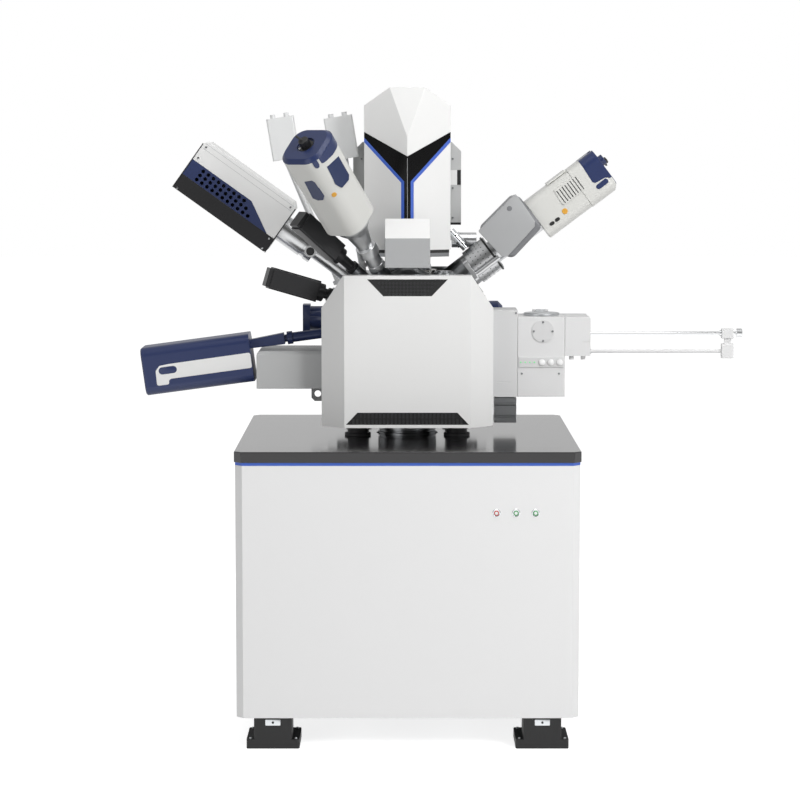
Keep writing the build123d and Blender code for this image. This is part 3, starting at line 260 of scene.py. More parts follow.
# Frosted blue acrylic: extruded strip that spreads the light of the diodes behind it
blue_diffuser = finish("blue_diffuser", "3557AE", 0.35, glow=0.25)
eased("tabletop", charcoal_lacquer, 0.001)
eased("light_strip", blue_diffuser, 0.0006)


# Cabinet: one steel sheet folded round three sides, powder-coated satin white over a welded frame,
# closed behind by a louvred panel; crates of electronics stand inside on the frame's floor
# Powder coat, white: baked polyester powder with a very fine orange-peel texture, satin gloss
white_powder = finish("white_powder_coat", "E9E9E9", 0.42, grain=0.0016, grain_depth=0.00001)
# Mill-finish steel tube: drawn and welded, dull grey
frame_steel = finish("welded_frame_steel", "8E9092", 0.45, metallic=0.8, grain=0.004, grain_depth=0.00002)
# Grey crate paint: plain enamel on folded sheet
crate_enamel = finish("grey_crate_enamel", "8F9396", 0.5, grain=0.003, grain_depth=0.00001)
eased("cabinet_cover", white_powder, 0.0008)
eased("cabinet_frame", frame_steel, 0.0)
eased("rear_panel", white_powder, 0.0)
eased("electronics_crates", crate_enamel, 0.001)

# Levelling feet: cast iron blocks painted matt black, standing on wide pads that are screwed to them,
# with a bare zinc plate and one screw on the front of each block
# Matt black casting paint: thick brushed enamel over a sand-cast skin, slightly rough
cast_black = finish("black_casting_paint", "0C0C0D", 0.55, grain=0.0025, grain_depth=0.00006)
# Zinc-plated steel: bright dip plating, pale grey with a faint blue cast
zinc_plate = finish("zinc_plated_steel", "C9CCCE", 0.3, metallic=1.0, grain=0.001, grain_depth=0.000006)
eased("levelling_feet", cast_black, 0.0015)


def frame_at(origin, along, up):
    """A place for flat details: own x along, own y up, own z out of the surface. Metres."""
    x = Vector(along).normalized()
    y = Vector(up).normalized()
    turn = Matrix((x, y, x.cross(y))).transposed().to_4x4()
    return Matrix.Translation(Vector(origin)) @ turn


def rounded_corners(points, radius, steps=5):
    """An outline in metres with its corners rounded by arcs."""
    rounded = []
    count = len(points)
    for i in range(count):
        corner = Vector(points[i])
        before = Vector(points[i - 1]) - corner
        after = Vector(points[(i + 1) % count]) - corner
        if radius <= 0:
            rounded.append(corner)
            continue
        angle = before.angle(after)
        reach = min(radius / math.tan(angle / 2), before.length * 0.49, after.length * 0.49)
        real = reach * math.tan(angle / 2)
        inward = (before.normalized() + after.normalized()).normalized()
        centre = corner + inward * real / math.sin(angle / 2)
        start = corner + before.normalized() * reach - centre
        end = corner + after.normalized() * reach - centre
        sweep = start.angle_signed(end)
        for k in range(steps + 1):
            turn = Matrix.Rotation(-sweep * k / steps, 2)
            rounded.append(centre + turn @ start)
    return rounded


def prism(outline, place, thickness, ease=0.0):
    """A flat plate of an outline, thickened out of the surface it lies on."""
    form = bmesh.new()
    ring = [form.verts.new((p[0], p[1], 0)) for p in outline]
    base = form.faces.new(ring)
    lifted = bmesh.ops.extrude_face_region(form, geom=[base])
    top = [v for v in lifted["geom"] if isinstance(v, bmesh.types.BMVert)]
    bmesh.ops.translate(form, verts=top, vec=(0, 0, thickness))
    if ease:
        rim = [e for e in form.edges if all(v in top for v in e.verts)]
        bmesh.ops.bevel(form, geom=rim, offset=ease, segments=2, affect="EDGES", profile=0.5)
    bmesh.ops.transform(form, matrix=place, verts=form.verts)
    bmesh.ops.recalc_face_normals(form, faces=form.faces)
    mesh = bpy.data.meshes.new("prism")
    form.to_mesh(mesh)
    form.free()
    return mesh


def oval(x, y, length, width, steps=12):
    """The outline of a slot: a rectangle with half-round ends, lying along x."""
    half = (length - width) / 2
    right = [(x + half + math.cos(a) * width / 2, y + math.sin(a) * width / 2)
             for a in (math.pi * (k / steps - 0.5) for k in range(steps + 1))]
    left = [(2 * x - p[0], 2 * y - p[1]) for p in right]
    return right + left


def turned(profile, place, steps=40):
    """A turned part: (distance, radius) steps revolved about the place's own z."""
    form = bmesh.new()
    rings = []
    for distance, radius in profile:
        rings.append([form.verts.new((radius * math.cos(2 * math.pi * k / steps),
                                      radius * math.sin(2 * math.pi * k / steps), distance))
                      for k in range(steps)])
    for lower, upper in zip(rings, rings[1:]):
        for k in range(steps):
            form.faces.new((lower[k], lower[(k + 1) % steps], upper[(k + 1) % steps], upper[k]))
    form.faces.new(rings[0])
    form.faces.new(rings[-1])
    bmesh.ops.transform(form, matrix=place, verts=form.verts)
    bmesh.ops.remove_doubles(form, verts=form.verts, dist=1e-7)
    bmesh.ops.recalc_face_normals(form, faces=form.faces)
    mesh = bpy.data.meshes.new("turned")
    form.to_mesh(mesh)
    form.free()
    return mesh


def repeat_tree():
    """Geometry nodes that set copies of a pattern on points, turned by the points' own directions."""
    tree = bpy.data.node_groups.new("repeat_pattern", "GeometryNodeTree")
    tree.interface.new_socket("Geometry", in_out="INPUT", socket_type="NodeSocketGeometry")
    tree.interface.new_socket("Pattern", in_out="INPUT", socket_type="NodeSocketObject")
    tree.interface.new_socket("Finish", in_out="INPUT", socket_type="NodeSocketMaterial")
    tree.interface.new_socket("Size", in_out="INPUT", socket_type="NodeSocketFloat")
    tree.interface.new_socket("Geometry", in_out="OUTPUT", socket_type="NodeSocketGeometry")
    entry = add(tree, "NodeGroupInput")
    pattern = add(tree, "GeometryNodeObjectInfo", {"Object": entry.outputs["Pattern"]})
    facing = add(tree, "GeometryNodeInputNamedAttribute", {"Name": "facing"}, data_type="FLOAT_VECTOR")
    along = add(tree, "GeometryNodeInputNamedAttribute", {"Name": "along"}, data_type="FLOAT_VECTOR")
    outward = add(tree, "FunctionNodeAlignRotationToVector", {"Vector": facing.outputs["Attribute"]},
                  axis="Z")
    spun = add(tree, "FunctionNodeAlignRotationToVector", {"Rotation": outward.outputs[0],
                                                           "Vector": along.outputs["Attribute"]},
               axis="X", pivot_axis="Z")
    copies = add(tree, "GeometryNodeInstanceOnPoints", {"Points": entry.outputs["Geometry"],
                                                        "Instance": pattern.outputs["Geometry"],
                                                        "Rotation": spun.outputs[0],
                                                        "Scale": entry.outputs["Size"]})
    solid = add(tree, "GeometryNodeRealizeInstances", {"Geometry": copies.outputs[0]})
    painted = add(tree, "GeometryNodeSetMaterial", {"Geometry": solid.outputs[0],
                                                    "Material": entry.outputs["Finish"]})
    add(tree, "NodeGroupOutput", {"Geometry": painted.outputs[0]})
    return tree


repeat_pattern = repeat_tree()


def repeated(name, pattern, places, material, body="base", size=1.0):
    """Copies of a pattern mesh at each (position, facing, along), realised as one piece of a body."""
    points = bpy.data.meshes.new(name + "_points")
    points.from_pydata([tuple(place[0]) for place in places], [], [])
    for attribute, column in (("facing", 1), ("along", 2)):
        values = points.attributes.new(attribute, "FLOAT_VECTOR", "POINT")
        for i, place in enumerate(places):
            values.data[i].vector = tuple(place[column])
    model = bpy.data.objects.new(name + "_pattern", pattern)
    holder = bpy.data.objects.new(name + "_holder", points)
    scene.collection.objects.link(model)
    scene.collection.objects.link(holder)
    nodes = holder.modifiers.new("repeat", "NODES")
    nodes.node_group = repeat_pattern
    sockets = {item.name: item.identifier for item in repeat_pattern.interface.items_tree
               if item.in_out == "INPUT"}
    nodes[sockets["Pattern"]] = model
    nodes[sockets["Finish"]] = material
    nodes[sockets["Size"]] = size
    evaluated = holder.evaluated_get(bpy.context.evaluated_depsgraph_get())
    mesh = bpy.data.meshes.new_from_object(evaluated)
    bpy.data.objects.remove(holder)
    bpy.data.objects.remove(model)
    piece = keep(mesh, name, material, body)
    return piece


def screw_head(radius):
    """A socket screw's head standing on the surface, with a six-sided recess in its top."""
    height = radius * 0.9
    form = bmesh.new()
    sides = 24
    outline = [(0.0, 0), (height * 0.8, 0), (height, 0.12 * radius)]
    rings = []
    for z, inset in outline:
        rings.append([form.verts.new(((radius - inset) * math.cos(2 * math.pi * k / sides),
                                      (radius - inset) * math.sin(2 * math.pi * k / sides), z))
                      for k in range(sides)])
    for z in (height, height * 0.35):
        ring = []
        for k in range(sides):
            angle = 2 * math.pi * k / sides
            corner = math.cos(math.pi / 6) / math.cos((angle % (math.pi / 3)) - math.pi / 6)
            reach = 0.52 * radius * corner
            ring.append(form.verts.new((reach * math.cos(angle), reach * math.sin(angle), z)))
        rings.append(ring)
    for lower, upper in zip(rings, rings[1:]):
        for k in range(sides):
            form.faces.new((lower[k], lower[(k + 1) % sides], upper[(k + 1) % sides], upper[k]))
    form.faces.new(list(reversed(rings[0])))
    form.faces.new(rings[-1])
    bmesh.ops.recalc_face_normals(form, faces=form.faces)
    mesh = bpy.data.meshes.new("screw_head")
    form.to_mesh(mesh)
    form.free()
    return mesh


front = (0, -1, 0)
right = (1, 0, 0)
rise = (0, 0, 1)
feet_low, feet_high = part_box("levelling_feet")
column_x = -0.105
foot_xs = (column_x - 0.375, column_x + 0.375)
for index, x in enumerate(foot_xs):
    plate_outline = [(-0.021, -0.0085), (0.021, -0.0085), (0.021, 0.0085), (-0.021, 0.0085)]
    plate = prism(rounded_corners(plate_outline, 0.002),
                  frame_at((x, feet_low.y + 0.0002, 0.0745), right, rise), 0.0016, 0.0004)
    keep(plate, f"foot_plate_{index}", zinc_plate, "base")
pad_screws = [((x + dx, y, 0.026), rise, right) for x in foot_xs for dx in (-0.063, 0.063)
              for y in (feet_low.y + 0.012, feet_low.y + 0.136, feet_high.y - 0.012, feet_high.y - 0.136)]
plate_screws = [((x, feet_low.y - 0.0012, 0.0745), front, right) for x in foot_xs]
repeated("foot_screws", screw_head(0.004), pad_screws, zinc_plate)
repeated("foot_plate_screws", screw_head(0.004), plate_screws, cast_black, size=0.8)

# Push buttons: moulded caps with a pale lens in the middle, each in a bright turned bezel
# Glossy cap plastic: moulded in colour, one red and two green, with a pale polished lens
red_cap = finish("red_cap_plastic", "C23A34", 0.3, coat=0.3)
green_cap = finish("green_cap_plastic", "3F9B58", 0.3, coat=0.3)
pale_lens = finish("pale_button_lens", "E9ECEA", 0.2, coat=0.4)
# Bright chrome: polished and plated, mirrors its surroundings
chrome = finish("bright_chrome", "D8DADC", 0.12, metallic=1.0)
bezels = []
for node, material, slot in (("button_left", red_cap, "red_button"),
                             ("button_middle", green_cap, "green_button"),
                             ("button_right", green_cap, "green_button")):
    eased(node, material, 0.0)
    low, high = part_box(node)
    middle = Vector(((low.x + high.x) / 2, low.y, (low.z + high.z) / 2))
    lens = turned([(0, 0.0045), (0.00008, 0.0044), (0.0001, 0)], frame_at(middle, right, rise), 24)
    keep(lens, node + "_lens", pale_lens, frame["nodes"][node]["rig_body"])
    bezels.append(((middle.x, low.y + 0.0035, middle.z), front, right))
bezel = turned([(-0.0005, 0.0075), (0.0022, 0.0075), (0.0026, 0.0082), (0.0026, 0.0098), (0.0014, 0.0112),
                (-0.0005, 0.0114)], Matrix.Identity(4), 32)
repeated("button_bezels", bezel, bezels, chrome)

# Chamber: a machined aluminium housing on four damped pillars, its spare ports closed by round blanks
# held by rings of screws; a turbo pump hangs below it through the table
# Machined aluminium: milled and bead-blasted, soft grey with a fine grain
blasted_aluminium = finish("blasted_aluminium", "B9BBBD", 0.38, metallic=0.9, grain=0.0006, grain_depth=0.00001,
                           tint=0.03)
# Black isolator coat: satin paint on steel cans with rubber inside
isolator_black = finish("isolator_black", "363638", 0.5, grain=0.002, grain_depth=0.00002)
# Stainless steel: turned, so fine rings catch the light
turned_steel = finish("turned_stainless", "8C8E90", 0.28, metallic=1.0, grain=0.0005, grain_depth=0.000008)
# Lens steel: nickel-plated soft iron, smooth and slightly warm
lens_nickel = finish("nickel_plated_iron", "A5A39E", 0.25, metallic=1.0)
eased("chamber_body", blasted_aluminium, 0.0012)
eased("chamber_fittings", turned_steel, 0.0008)
eased("isolators", isolator_black, 0.0012)
eased("turbo_pump", turned_steel, 0.0012)
eased("objective_lens", lens_nickel, 0.0)
blank_screws = []
for x, y, radius in ((0.105, -0.120, 0.030), (-0.020, 0.150, 0.036), (0.095, 0.140, 0.034)):
    for k in range(6):
        angle = math.radians(30 + 60 * k)
        reach = radius - 0.0045
        blank_screws.append(((column_x + x + reach * math.cos(angle), y + reach * math.sin(angle), 1.310),
                             rise, right))
shoulder = Vector((0.1, 0, 0.073)).normalized()
downhill = Vector((0.073, 0, -0.1)).normalized()
for y in (-0.105, 0.110):
    for k in range(6):
        angle = math.radians(60 * k)
        middle = Vector((column_x + 0.2015, y, 1.250)) + shoulder * 0.009
        place = middle + (Vector((0, 1, 0)) * math.cos(angle) + downhill * math.sin(angle)) * 0.029
        blank_screws.append((place, shoulder, (0, 1, 0)))
repeated("blank_screws", screw_head(0.0028), blank_screws, turned_steel)
pump_screws = []
pump_circle = 0.091
for k in range(10):
    angle = math.radians(36 * k)
    pump_screws.append(((column_x + pump_circle * math.cos(angle), pump_circle * math.sin(angle), 0.891),
                        (0, 0, -1), right))
repeated("pump_screws", screw_head(0.0035), pump_screws, turned_steel)

# Door: a thick machined plate on two rails with the stage's shelf, sealed by a rubber cord; a white
# moulded cover hides it, with a black mesh grille above and a black comb vent below
# Nitrile rubber: matt black, soft sheen
seal_black = finish("nitrile_rubber", "1A1A1A", 0.75)
# Painted moulding, white: satin two-coat paint over a smooth moulded shell
white_moulding = finish("white_satin_paint", "E8E8E7", 0.36, coat=0.12, grain=0.003, grain_depth=0.000006)
# Black moulded plastic: fine spark-eroded texture, semi-matt
black_moulding = finish("black_moulded_plastic", "161617", 0.42, grain=0.0006, grain_depth=0.00002)
eased("door_plate", blasted_aluminium, 0.0)
eased("door_seal", seal_black, 0.0)
eased("front_cover", white_moulding, 0.0012, 2, 8)
eased("cover_grille", black_moulding, 0.0)
# Dark sheets behind the grille, which narrows downward, and the vent, which narrows upward, are painted shade:
# they stand for the dark inside seen through the openings
shade_sheet_slant = 0.046
shade_sheet_margin = 0.002
for node, slant_low, slant_high in (("cover_grille", shade_sheet_slant, 0.0), ("cover_vent", 0.0, shade_sheet_slant)):
    low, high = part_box(node)
    left = low.x + shade_sheet_margin
    far = high.x - shade_sheet_margin
    painted_shade_sheet = [(left + slant_low, low.z + shade_sheet_margin), (far - slant_low, low.z + shade_sheet_margin),
             (far - slant_high, high.z - shade_sheet_margin), (left + slant_high, high.z - shade_sheet_margin)]
    shade_sheet_place = frame_at((0, high.y + 0.0010, 0), right, rise)
    keep(prism(painted_shade_sheet, shade_sheet_place, 0.0008), node + "_cloth", isolator_black, frame["nodes"][node]["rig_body"])
eased("cover_vent", black_moulding, 0.0)

# Stage: two crossed slides, a lift on posts, a tilting cradle and a turntable, all milled aluminium,
# clear-anodised; the stub on top is plain aluminium
# Clear-anodised aluminium: pale grey, dull satin
clear_anodised = finish("clear_anodised", "C2C4C6", 0.34, metallic=0.9, grain=0.0005, grain_depth=0.000006)
for node in ("stage_y_slide", "stage_x_slide", "stage_lift", "tilt_cradle", "turntable"):
    eased(node, clear_anodised, 0.0005)
eased("specimen_stub", clear_anodised, 0.0)

# Electron column: a stepped steel tube under a white faceted cover; a glossy black Y lies in the
# cover's front with a thin blue light along its outer edges
# Gloss black acrylic: cast sheet, polished
gloss_black = finish("gloss_black_acrylic", "080809", 0.14)
# Painted housing, light grey: fine textured coat over aluminium sheet
light_grey_coat = finish("light_grey_coat", "BABBBB", 0.45, grain=0.0014, grain_depth=0.00001)
# Painted box, mid grey: same coat, darker
mid_grey_coat = finish("mid_grey_coat", "A6A7A8", 0.42, grain=0.0014, grain_depth=0.00001)
# Painted box, silver grey: a matt coat on folded sheet; its slanted top is coloured white as a painted highlight
# for the light it catches from above
box_metal = finish("silver_grey_coat", "A8A9AA", 0.5, grain=0.0014, grain_depth=0.00001)
eased("column_cover", white_moulding, 0.0010, 2, 8)
eased("cover_insert", gloss_black, 0.0004, 2, 8)
eased("cover_lights", blue_diffuser, 0.0, 2, 8)
eased("column_tube", turned_steel, 0.0008)


def second_coat(piece, material, has_it):
    """Give a piece a second coat on the faces that has_it picks by their middle and normal."""
    piece.data.materials.append(material)
    for polygon in piece.data.polygons:
        polygon.material_index = 1 if has_it(polygon.center, polygon.normal) else 0


# Faces that look upward take the white coat: a painted highlight, not a second paint
second_coat(eased("front_box", box_metal, 0.0012), white_moulding,
            lambda middle, normal: normal.z > 0.3)
eased("rear_housing", light_grey_coat, 0.0015)
hood_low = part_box("column_cover")[0]
gasket = [(-0.1215, 0.1165), (-0.1215, -0.0501), (0.0, -0.1167), (0.1215, -0.0501), (0.1215, 0.1165)]
gasket_place = Matrix.Translation((column_x, 0, hood_low.z - 0.009))
keep(prism(gasket, gasket_place, 0.0088), "hood_gasket", black_moulding, "base")


def on_hood(side):
    """The lower front facet of the hood on one side: own x outward from the middle crease, own y up."""
    along = Vector((side * 0.125, 0.070, 0))
    place = frame_at((column_x, -0.120, 0), along, rise)
    return place if side > 0 else place @ Matrix.Diagonal((1, 1, -1, 1))


def light_band(inner, outer, side):
    """A lit strip along the lower edge of the Y, between two distances from that edge."""
    reach = Vector((0.125, 0.070)).length / 0.125
    slope = (1.682 - 1.566) / (0.125 - 0.018)
    edges = []
    for inset in (outer, inner):
        half = 0.018 - inset
        lift = inset * math.hypot(1, slope) - inset * slope
        tip = 1.682 + inset * math.hypot(1, slope)
        edges.append([(half * reach, 1.420), (half * reach, 1.566 + lift), (0.1245 * reach, tip)])
    return edges[0] + list(reversed(edges[1]))


for index, side in enumerate((-1, 1)):
    band = prism(light_band(0.0046, 0.0086, side), on_hood(side), 0.0004)
    keep(band, f"insert_glow_{index}", blue_diffuser, "base")
# A thin grey line down the Y's middle crease is a painted highlight where the crease catches the light
keep(prism([(-0.0006, 1.422), (0.0006, 1.422), (0.0006, 1.636), (-0.0006, 1.636)],
           frame_at((column_x, -0.1201, 0), right, rise), 0.0004), "insert_seam", mid_grey_coat, "base")

# The rear housing's edge shows a pale gap with a black connector in it, a black foot and three screws
housing_front = frame_at((column_x, 0.1258, 0), right, rise)
for name, x0, x1, z0, z1, material in (
    ("housing_gap", 0.126, 0.1598, 1.5562, 1.5998, white_moulding),
    ("housing_socket", 0.1480, 0.1592, 1.5562, 1.5998, black_moulding),
    ("housing_foot", 0.126, 0.1595, 1.4382, 1.4450, black_moulding),
):
    lift = 0.0012 if name == "housing_socket" else 0.0006
    panel = [(x0, z0), (x1, z0), (x1, z1), (x0, z1)]
    keep(prism(panel, housing_front, lift), name, material, "base")
housing_screws = [(housing_front @ Vector((side * 0.1350, z, 0)), front, right)
                  for z in (1.6329, 1.5468, 1.4592) for side in (-1, 1)]
repeated("housing_screws", screw_head(0.0030), housing_screws, turned_steel)
top_screws = [((column_x + x, y, 1.300), rise, right) for x, y in (
    (-0.14, -0.13), (0.14, -0.13), (0.082, -0.075), (0.124, -0.085), (-0.09, -0.14), (0.045, -0.140),
    (-0.14, 0.17), (0.14, 0.17))]
repeated("chamber_top_screws", screw_head(0.0042), top_screws, turned_steel)
dish = turned([(0, 0.058), (0.004, 0.060), (0.006, 0.060), (0.012, 0.046), (0.020, 0.030), (0.0255, 0.026)],
              Matrix.Translation((column_x + 0.006, -0.110, 1.3002)), 48)
keep(dish, "box_dish", turned_steel, "base")

# Ion column: a turned steel barrel with a silver drum and its pumping pipe, a grey cast drive box,
# a white square cover with a slatted window, and a navy cap with a pale tongue in it
# Navy paint: satin blue-black coat
navy_coat = finish("navy_satin_paint", "1C2B57", 0.38, coat=0.05, grain=0.003, grain_depth=0.000006)
# Black anodised aluminium: dyed, dull
black_anodised = finish("black_anodised", "1C1C1E", 0.4, metallic=0.3)
# Silver drum: turned aluminium, satin
satin_aluminium = finish("satin_turned_aluminium", "C4C5C6", 0.3, metallic=1.0, grain=0.0004,
                         grain_depth=0.000005)
# Orange rubber plug: moulded silicone
orange_plug = finish("orange_silicone", "D9A03A", 0.45)
eased("ion_barrel", satin_aluminium, 0.0008)
# Drive box paint: dark grey baked coat on the casting, under the lighter lid
drive_rim = finish("drive_box_rim_paint", "77787B", 0.42, grain=0.0014, grain_depth=0.00001)
eased("ion_drive_box", drive_rim, 0.002, 3)
# Ivory-grey paint: satin, a shade darker and warmer than the white covers
ivory_coat = finish("ivory_grey_paint", "D3D3CF", 0.36, coat=0.1, grain=0.003, grain_depth=0.000006)
eased("ion_cover", ivory_coat, 0.001)
focus = Vector((column_x, 0, 1.172))
ion_axis = Vector((math.cos(math.radians(37)), 0, math.sin(math.radians(37))))
ion_up = Vector((-math.sin(math.radians(37)), 0, math.cos(math.radians(37))))
second_coat(eased("ion_cap", ivory_coat, 0.002, 3), navy_coat,
            lambda middle, normal: (middle - focus).dot(ion_axis) > 0.7165)


def on_ion(y):
    """The front of the ion column at a depth, with own x outward along its axis."""
    return frame_at(focus + Vector((0, y, 0)), ion_axis, ion_up)


def around(s, half, corner):
    """Place and normal where a length s along a rounded square's rim ends, from the middle of a corner."""
    arc = math.pi * corner / 2
    flat = 2 * (half - corner)
    quarter, rest = divmod(s + arc / 2, arc + flat)
    if rest < arc:
        normal = Vector((math.cos(rest / corner), math.sin(rest / corner)))
        spot = Vector((half - corner, half - corner)) + normal * corner
    else:
        normal = Vector((0, 1))
        spot = Vector((half - corner - (rest - arc), half))
    turn = Matrix.Rotation(math.radians(90 * quarter), 2)
    return turn @ spot, turn @ normal


def wrapped(outline, axis, side, half, corner, thickness, lift=0.0):
    """A thin shell on a rounded square column: outline in (t along, s round), s from side's corner."""
    form = bmesh.new()
    face = form.faces.new([form.verts.new((t, s, 0)) for t, s in outline])
    bmesh.ops.triangulate(form, faces=[face])
    least = min(s for t, s in outline)
    most = max(s for t, s in outline)
    step = 0.004
    for k in range(1, int((most - least) / step) + 1):
        bmesh.ops.bisect_plane(form, geom=form.verts[:] + form.edges[:] + form.faces[:],
                               plane_co=(0, least + k * step, 0), plane_no=(0, 1, 0))
    lifted = bmesh.ops.extrude_face_region(form, geom=form.faces[:])
    for vert in lifted["geom"]:
        if isinstance(vert, bmesh.types.BMVert):
            vert.co.z = thickness
    other = axis.cross(side)
    for vert in form.verts:
        spot, normal = around(vert.co.y, half, corner)
        flat = spot + normal * (vert.co.z + lift)
        vert.co = focus + axis * vert.co.x + other * flat.x + side * flat.y
    bmesh.ops.recalc_face_normals(form, faces=form.faces)
    mesh = bpy.data.meshes.new("wrapped")
    form.to_mesh(mesh)
    form.free()
    return mesh


def mm(points):
    """Points in millimetres as metres."""
    return [(x / 1000, y / 1000) for x, y in points]


def on_ion_cap(outline, thickness, lift=0.0):
    """A shell on the ion column's cap, s from its lower front corner up the front."""
    return wrapped(outline, ion_axis, Vector(front), 0.066, 0.028, thickness, lift)


def on_ion_cover(outline, thickness, lift=0.0):
    """A shell on the ion column's cover, s from its lower front corner up the front."""
    return wrapped(outline, ion_axis, Vector(front), 0.064, 0.026, thickness, lift)


# The cap is navy above a stepped line and all round its outer end
navy_edge = [(668, 157), (668, 112.7), (666.2, 81.7), (664.2, 54.2), (669.2, 46.7), (700.5, 42.7),
             (709.7, 37.3), (711, 33), (718.5, 33), (718.5, 157)]
navy_thickness = 0.0006
cap_side = 0.120
half_panel = mm(navy_edge)
keep(on_ion_cap(half_panel, navy_thickness), "ion_cap_panel_front", navy_coat, "base")
keep(on_ion_cap([(t, -cap_side - s) for t, s in reversed(half_panel)], navy_thickness),
     "ion_cap_panel_back", navy_coat, "base")
keep(on_ion_cap(oval(0.684, 0.0327, 0.040, 0.015), 0.0012), "ion_pill", navy_coat, "base")
window = mm([(640.6, 95.2), (641.6, 53.8), (636.1, 50), (561, 48.4), (556.8, 56.9), (561.6, 100.9)])
keep(on_ion_cover(window, 0.0025), "ion_window", ivory_coat, "base")
# Black bars between the window's slats are painted shade for the dark gaps between them
slat_gap = prism([(-0.0013, -0.0215), (0.0013, -0.0215), (0.0013, 0.0215), (-0.0013, 0.0215)],
                 Matrix.Identity(4), 0.0005)
slats = [(on_ion(-0.0664) @ Vector((0.5665 + 0.0095 * k, 0.0145, 0)), front, ion_axis) for k in range(8)]
repeated("ion_slat_gaps", slat_gap, slats, black_moulding)
keep(turned([(0, 0.0085), (0.0012, 0.0085), (0.0018, 0.0076), (0.002, 0)],
            on_ion(-0.0636) @ Matrix.Translation((0.551, -0.0255, 0)), 28), "ion_plug", orange_plug, "base")
for index, x in enumerate((0.5002, 0.5196)):
    keep(on_ion_cover(oval(x, 0.0268, 0.016, 0.010), 0.0010), f"ion_oval_{index}", black_moulding, "base")
keep(prism(rounded_corners([(0.556, 0.064), (0.622, 0.064), (0.622, 0.0685), (0.556, 0.0685)], 0.001),
           on_ion(0.05), 0.10, 0.0005), "ion_top_plate", ivory_coat, "base")
keep(turned([(0, 0.015), (0.005, 0.015), (0.005, 0.010), (0.011, 0.010), (0.013, 0.008), (0.014, 0)],
            frame_at(focus + ion_axis * 0.7270 + ion_up * 0.018, ion_up, front), 32), "ion_connector",
     black_moulding, "base")
drum_end = frame_at(focus + ion_axis * 0.3125, front, ion_up)
keep(turned([(0, 0.058), (0.006, 0.058), (0.006, 0.0)], drum_end, 64), "drum_ring", black_moulding, "base")

# The drive box is a dark rim with a light bevelled lid on its front
drive_front = frame_at((column_x, -0.095, 0), right, rise)
lid_outline = mm([(203, 1427), (273, 1353), (290, 1355), (366, 1439), (368, 1454), (323, 1519), (310, 1535)])
lid_thickness = 0.004
keep(prism(rounded_corners(lid_outline, 0.006), drive_front, lid_thickness, 0.002), "drive_box_lid",
     mid_grey_coat, "base")
keep(turned([(0, 0.0075), (0.0008, 0.0075), (0.001, 0.0066), (0.001, 0)],
            drive_front @ Matrix.Translation((0.2936, 1.4918, lid_thickness)), 24), "drive_box_mark", drive_rim,
     "base")
# Struts, pipe and clamp rings beside the column's foot
link_place = frame_at((column_x, -0.020, 0), right, rise)
for index, (x0, z0, x1, z1, radius) in enumerate((
        (0.256, 1.354, 0.198, 1.302, 0.005), (0.247, 1.362, 0.189, 1.310, 0.005),
        (0.126, 1.424, 0.171, 1.375, 0.012))):
    low = link_place @ Vector((x0, z0, 0))
    high = link_place @ Vector((x1, z1, 0))
    reach = (high - low).length
    place = Matrix.Translation(low) @ (high - low).to_track_quat("Z", "Y").to_matrix().to_4x4()
    collar = radius * 1.4
    rod_form = [(0, radius), (reach * 0.25, radius), (reach * 0.25, collar), (reach * 0.32, collar),
                (reach * 0.32, radius), (reach * 0.7, radius), (reach * 0.7, collar),
                (reach * 0.77, collar), (reach * 0.77, radius), (reach, radius)]
    keep(turned(rod_form, place, 24), f"ion_link_{index}", chrome, "base")

# Rows of small vent holes run round the silver drum, drawn as thin black discs: painted shade for the dark
# inside of each hole
drum_holes = []
for row in range(4):
    for k in range(26):
        angle = 2 * math.pi * (k + 0.5 * (row % 2)) / 26
        outward = ion_up * math.cos(angle) + Vector((0, 1, 0)) * math.sin(angle)
        drum_holes.append((focus + ion_axis * (0.252 + 0.014 * row) + outward * 0.0539, outward, ion_axis))
hole = turned([(0, 0.0017), (0.0003, 0.0017), (0.0003, 0)], Matrix.Identity(4), 10)
repeated("drum_holes", hole, drum_holes, black_moulding)

# Leaning column: a tapered steel barrel, a white cover with dark blue windows, and a navy cap that
# holds a black socket with a cable stub
# Navy screen glass: smooth, near black-blue
blue_glass = finish("blue_window_glass", "07204E", 0.28)
eased("side_barrel", satin_aluminium, 0.0008)
eased("side_cover", ivory_coat, 0.001)
lean_axis = Vector((-0.401, -0.571, 0.718)).normalized()
lean_across = Vector((0, 0, 1)).cross(lean_axis).normalized()
lean_over = lean_axis.cross(lean_across)
second_coat(eased("side_cap", ivory_coat, 0.0015, 3), navy_coat,
            lambda middle, normal: (middle - focus).dot(lean_axis) > 0.6885)


def on_lean_cap(outline, thickness, lift=0.0):
    """A shell on the leaning column's cap, s from the corner facing the front to its right face."""
    return wrapped(outline, -lean_axis, lean_across, 0.0675, 0.045, thickness, lift)


def on_lean_cover(outline, thickness, lift=0.0):
    """A shell on the leaning column's cover, s from the corner facing the front to its right face."""
    return wrapped(outline, -lean_axis, lean_across, 0.066, 0.044, thickness, lift)


def along_lean(points):
    """Points in millimetres along and round the leaning column, as the shells above take them."""
    return [(-t / 1000, s / 1000) for t, s in points]


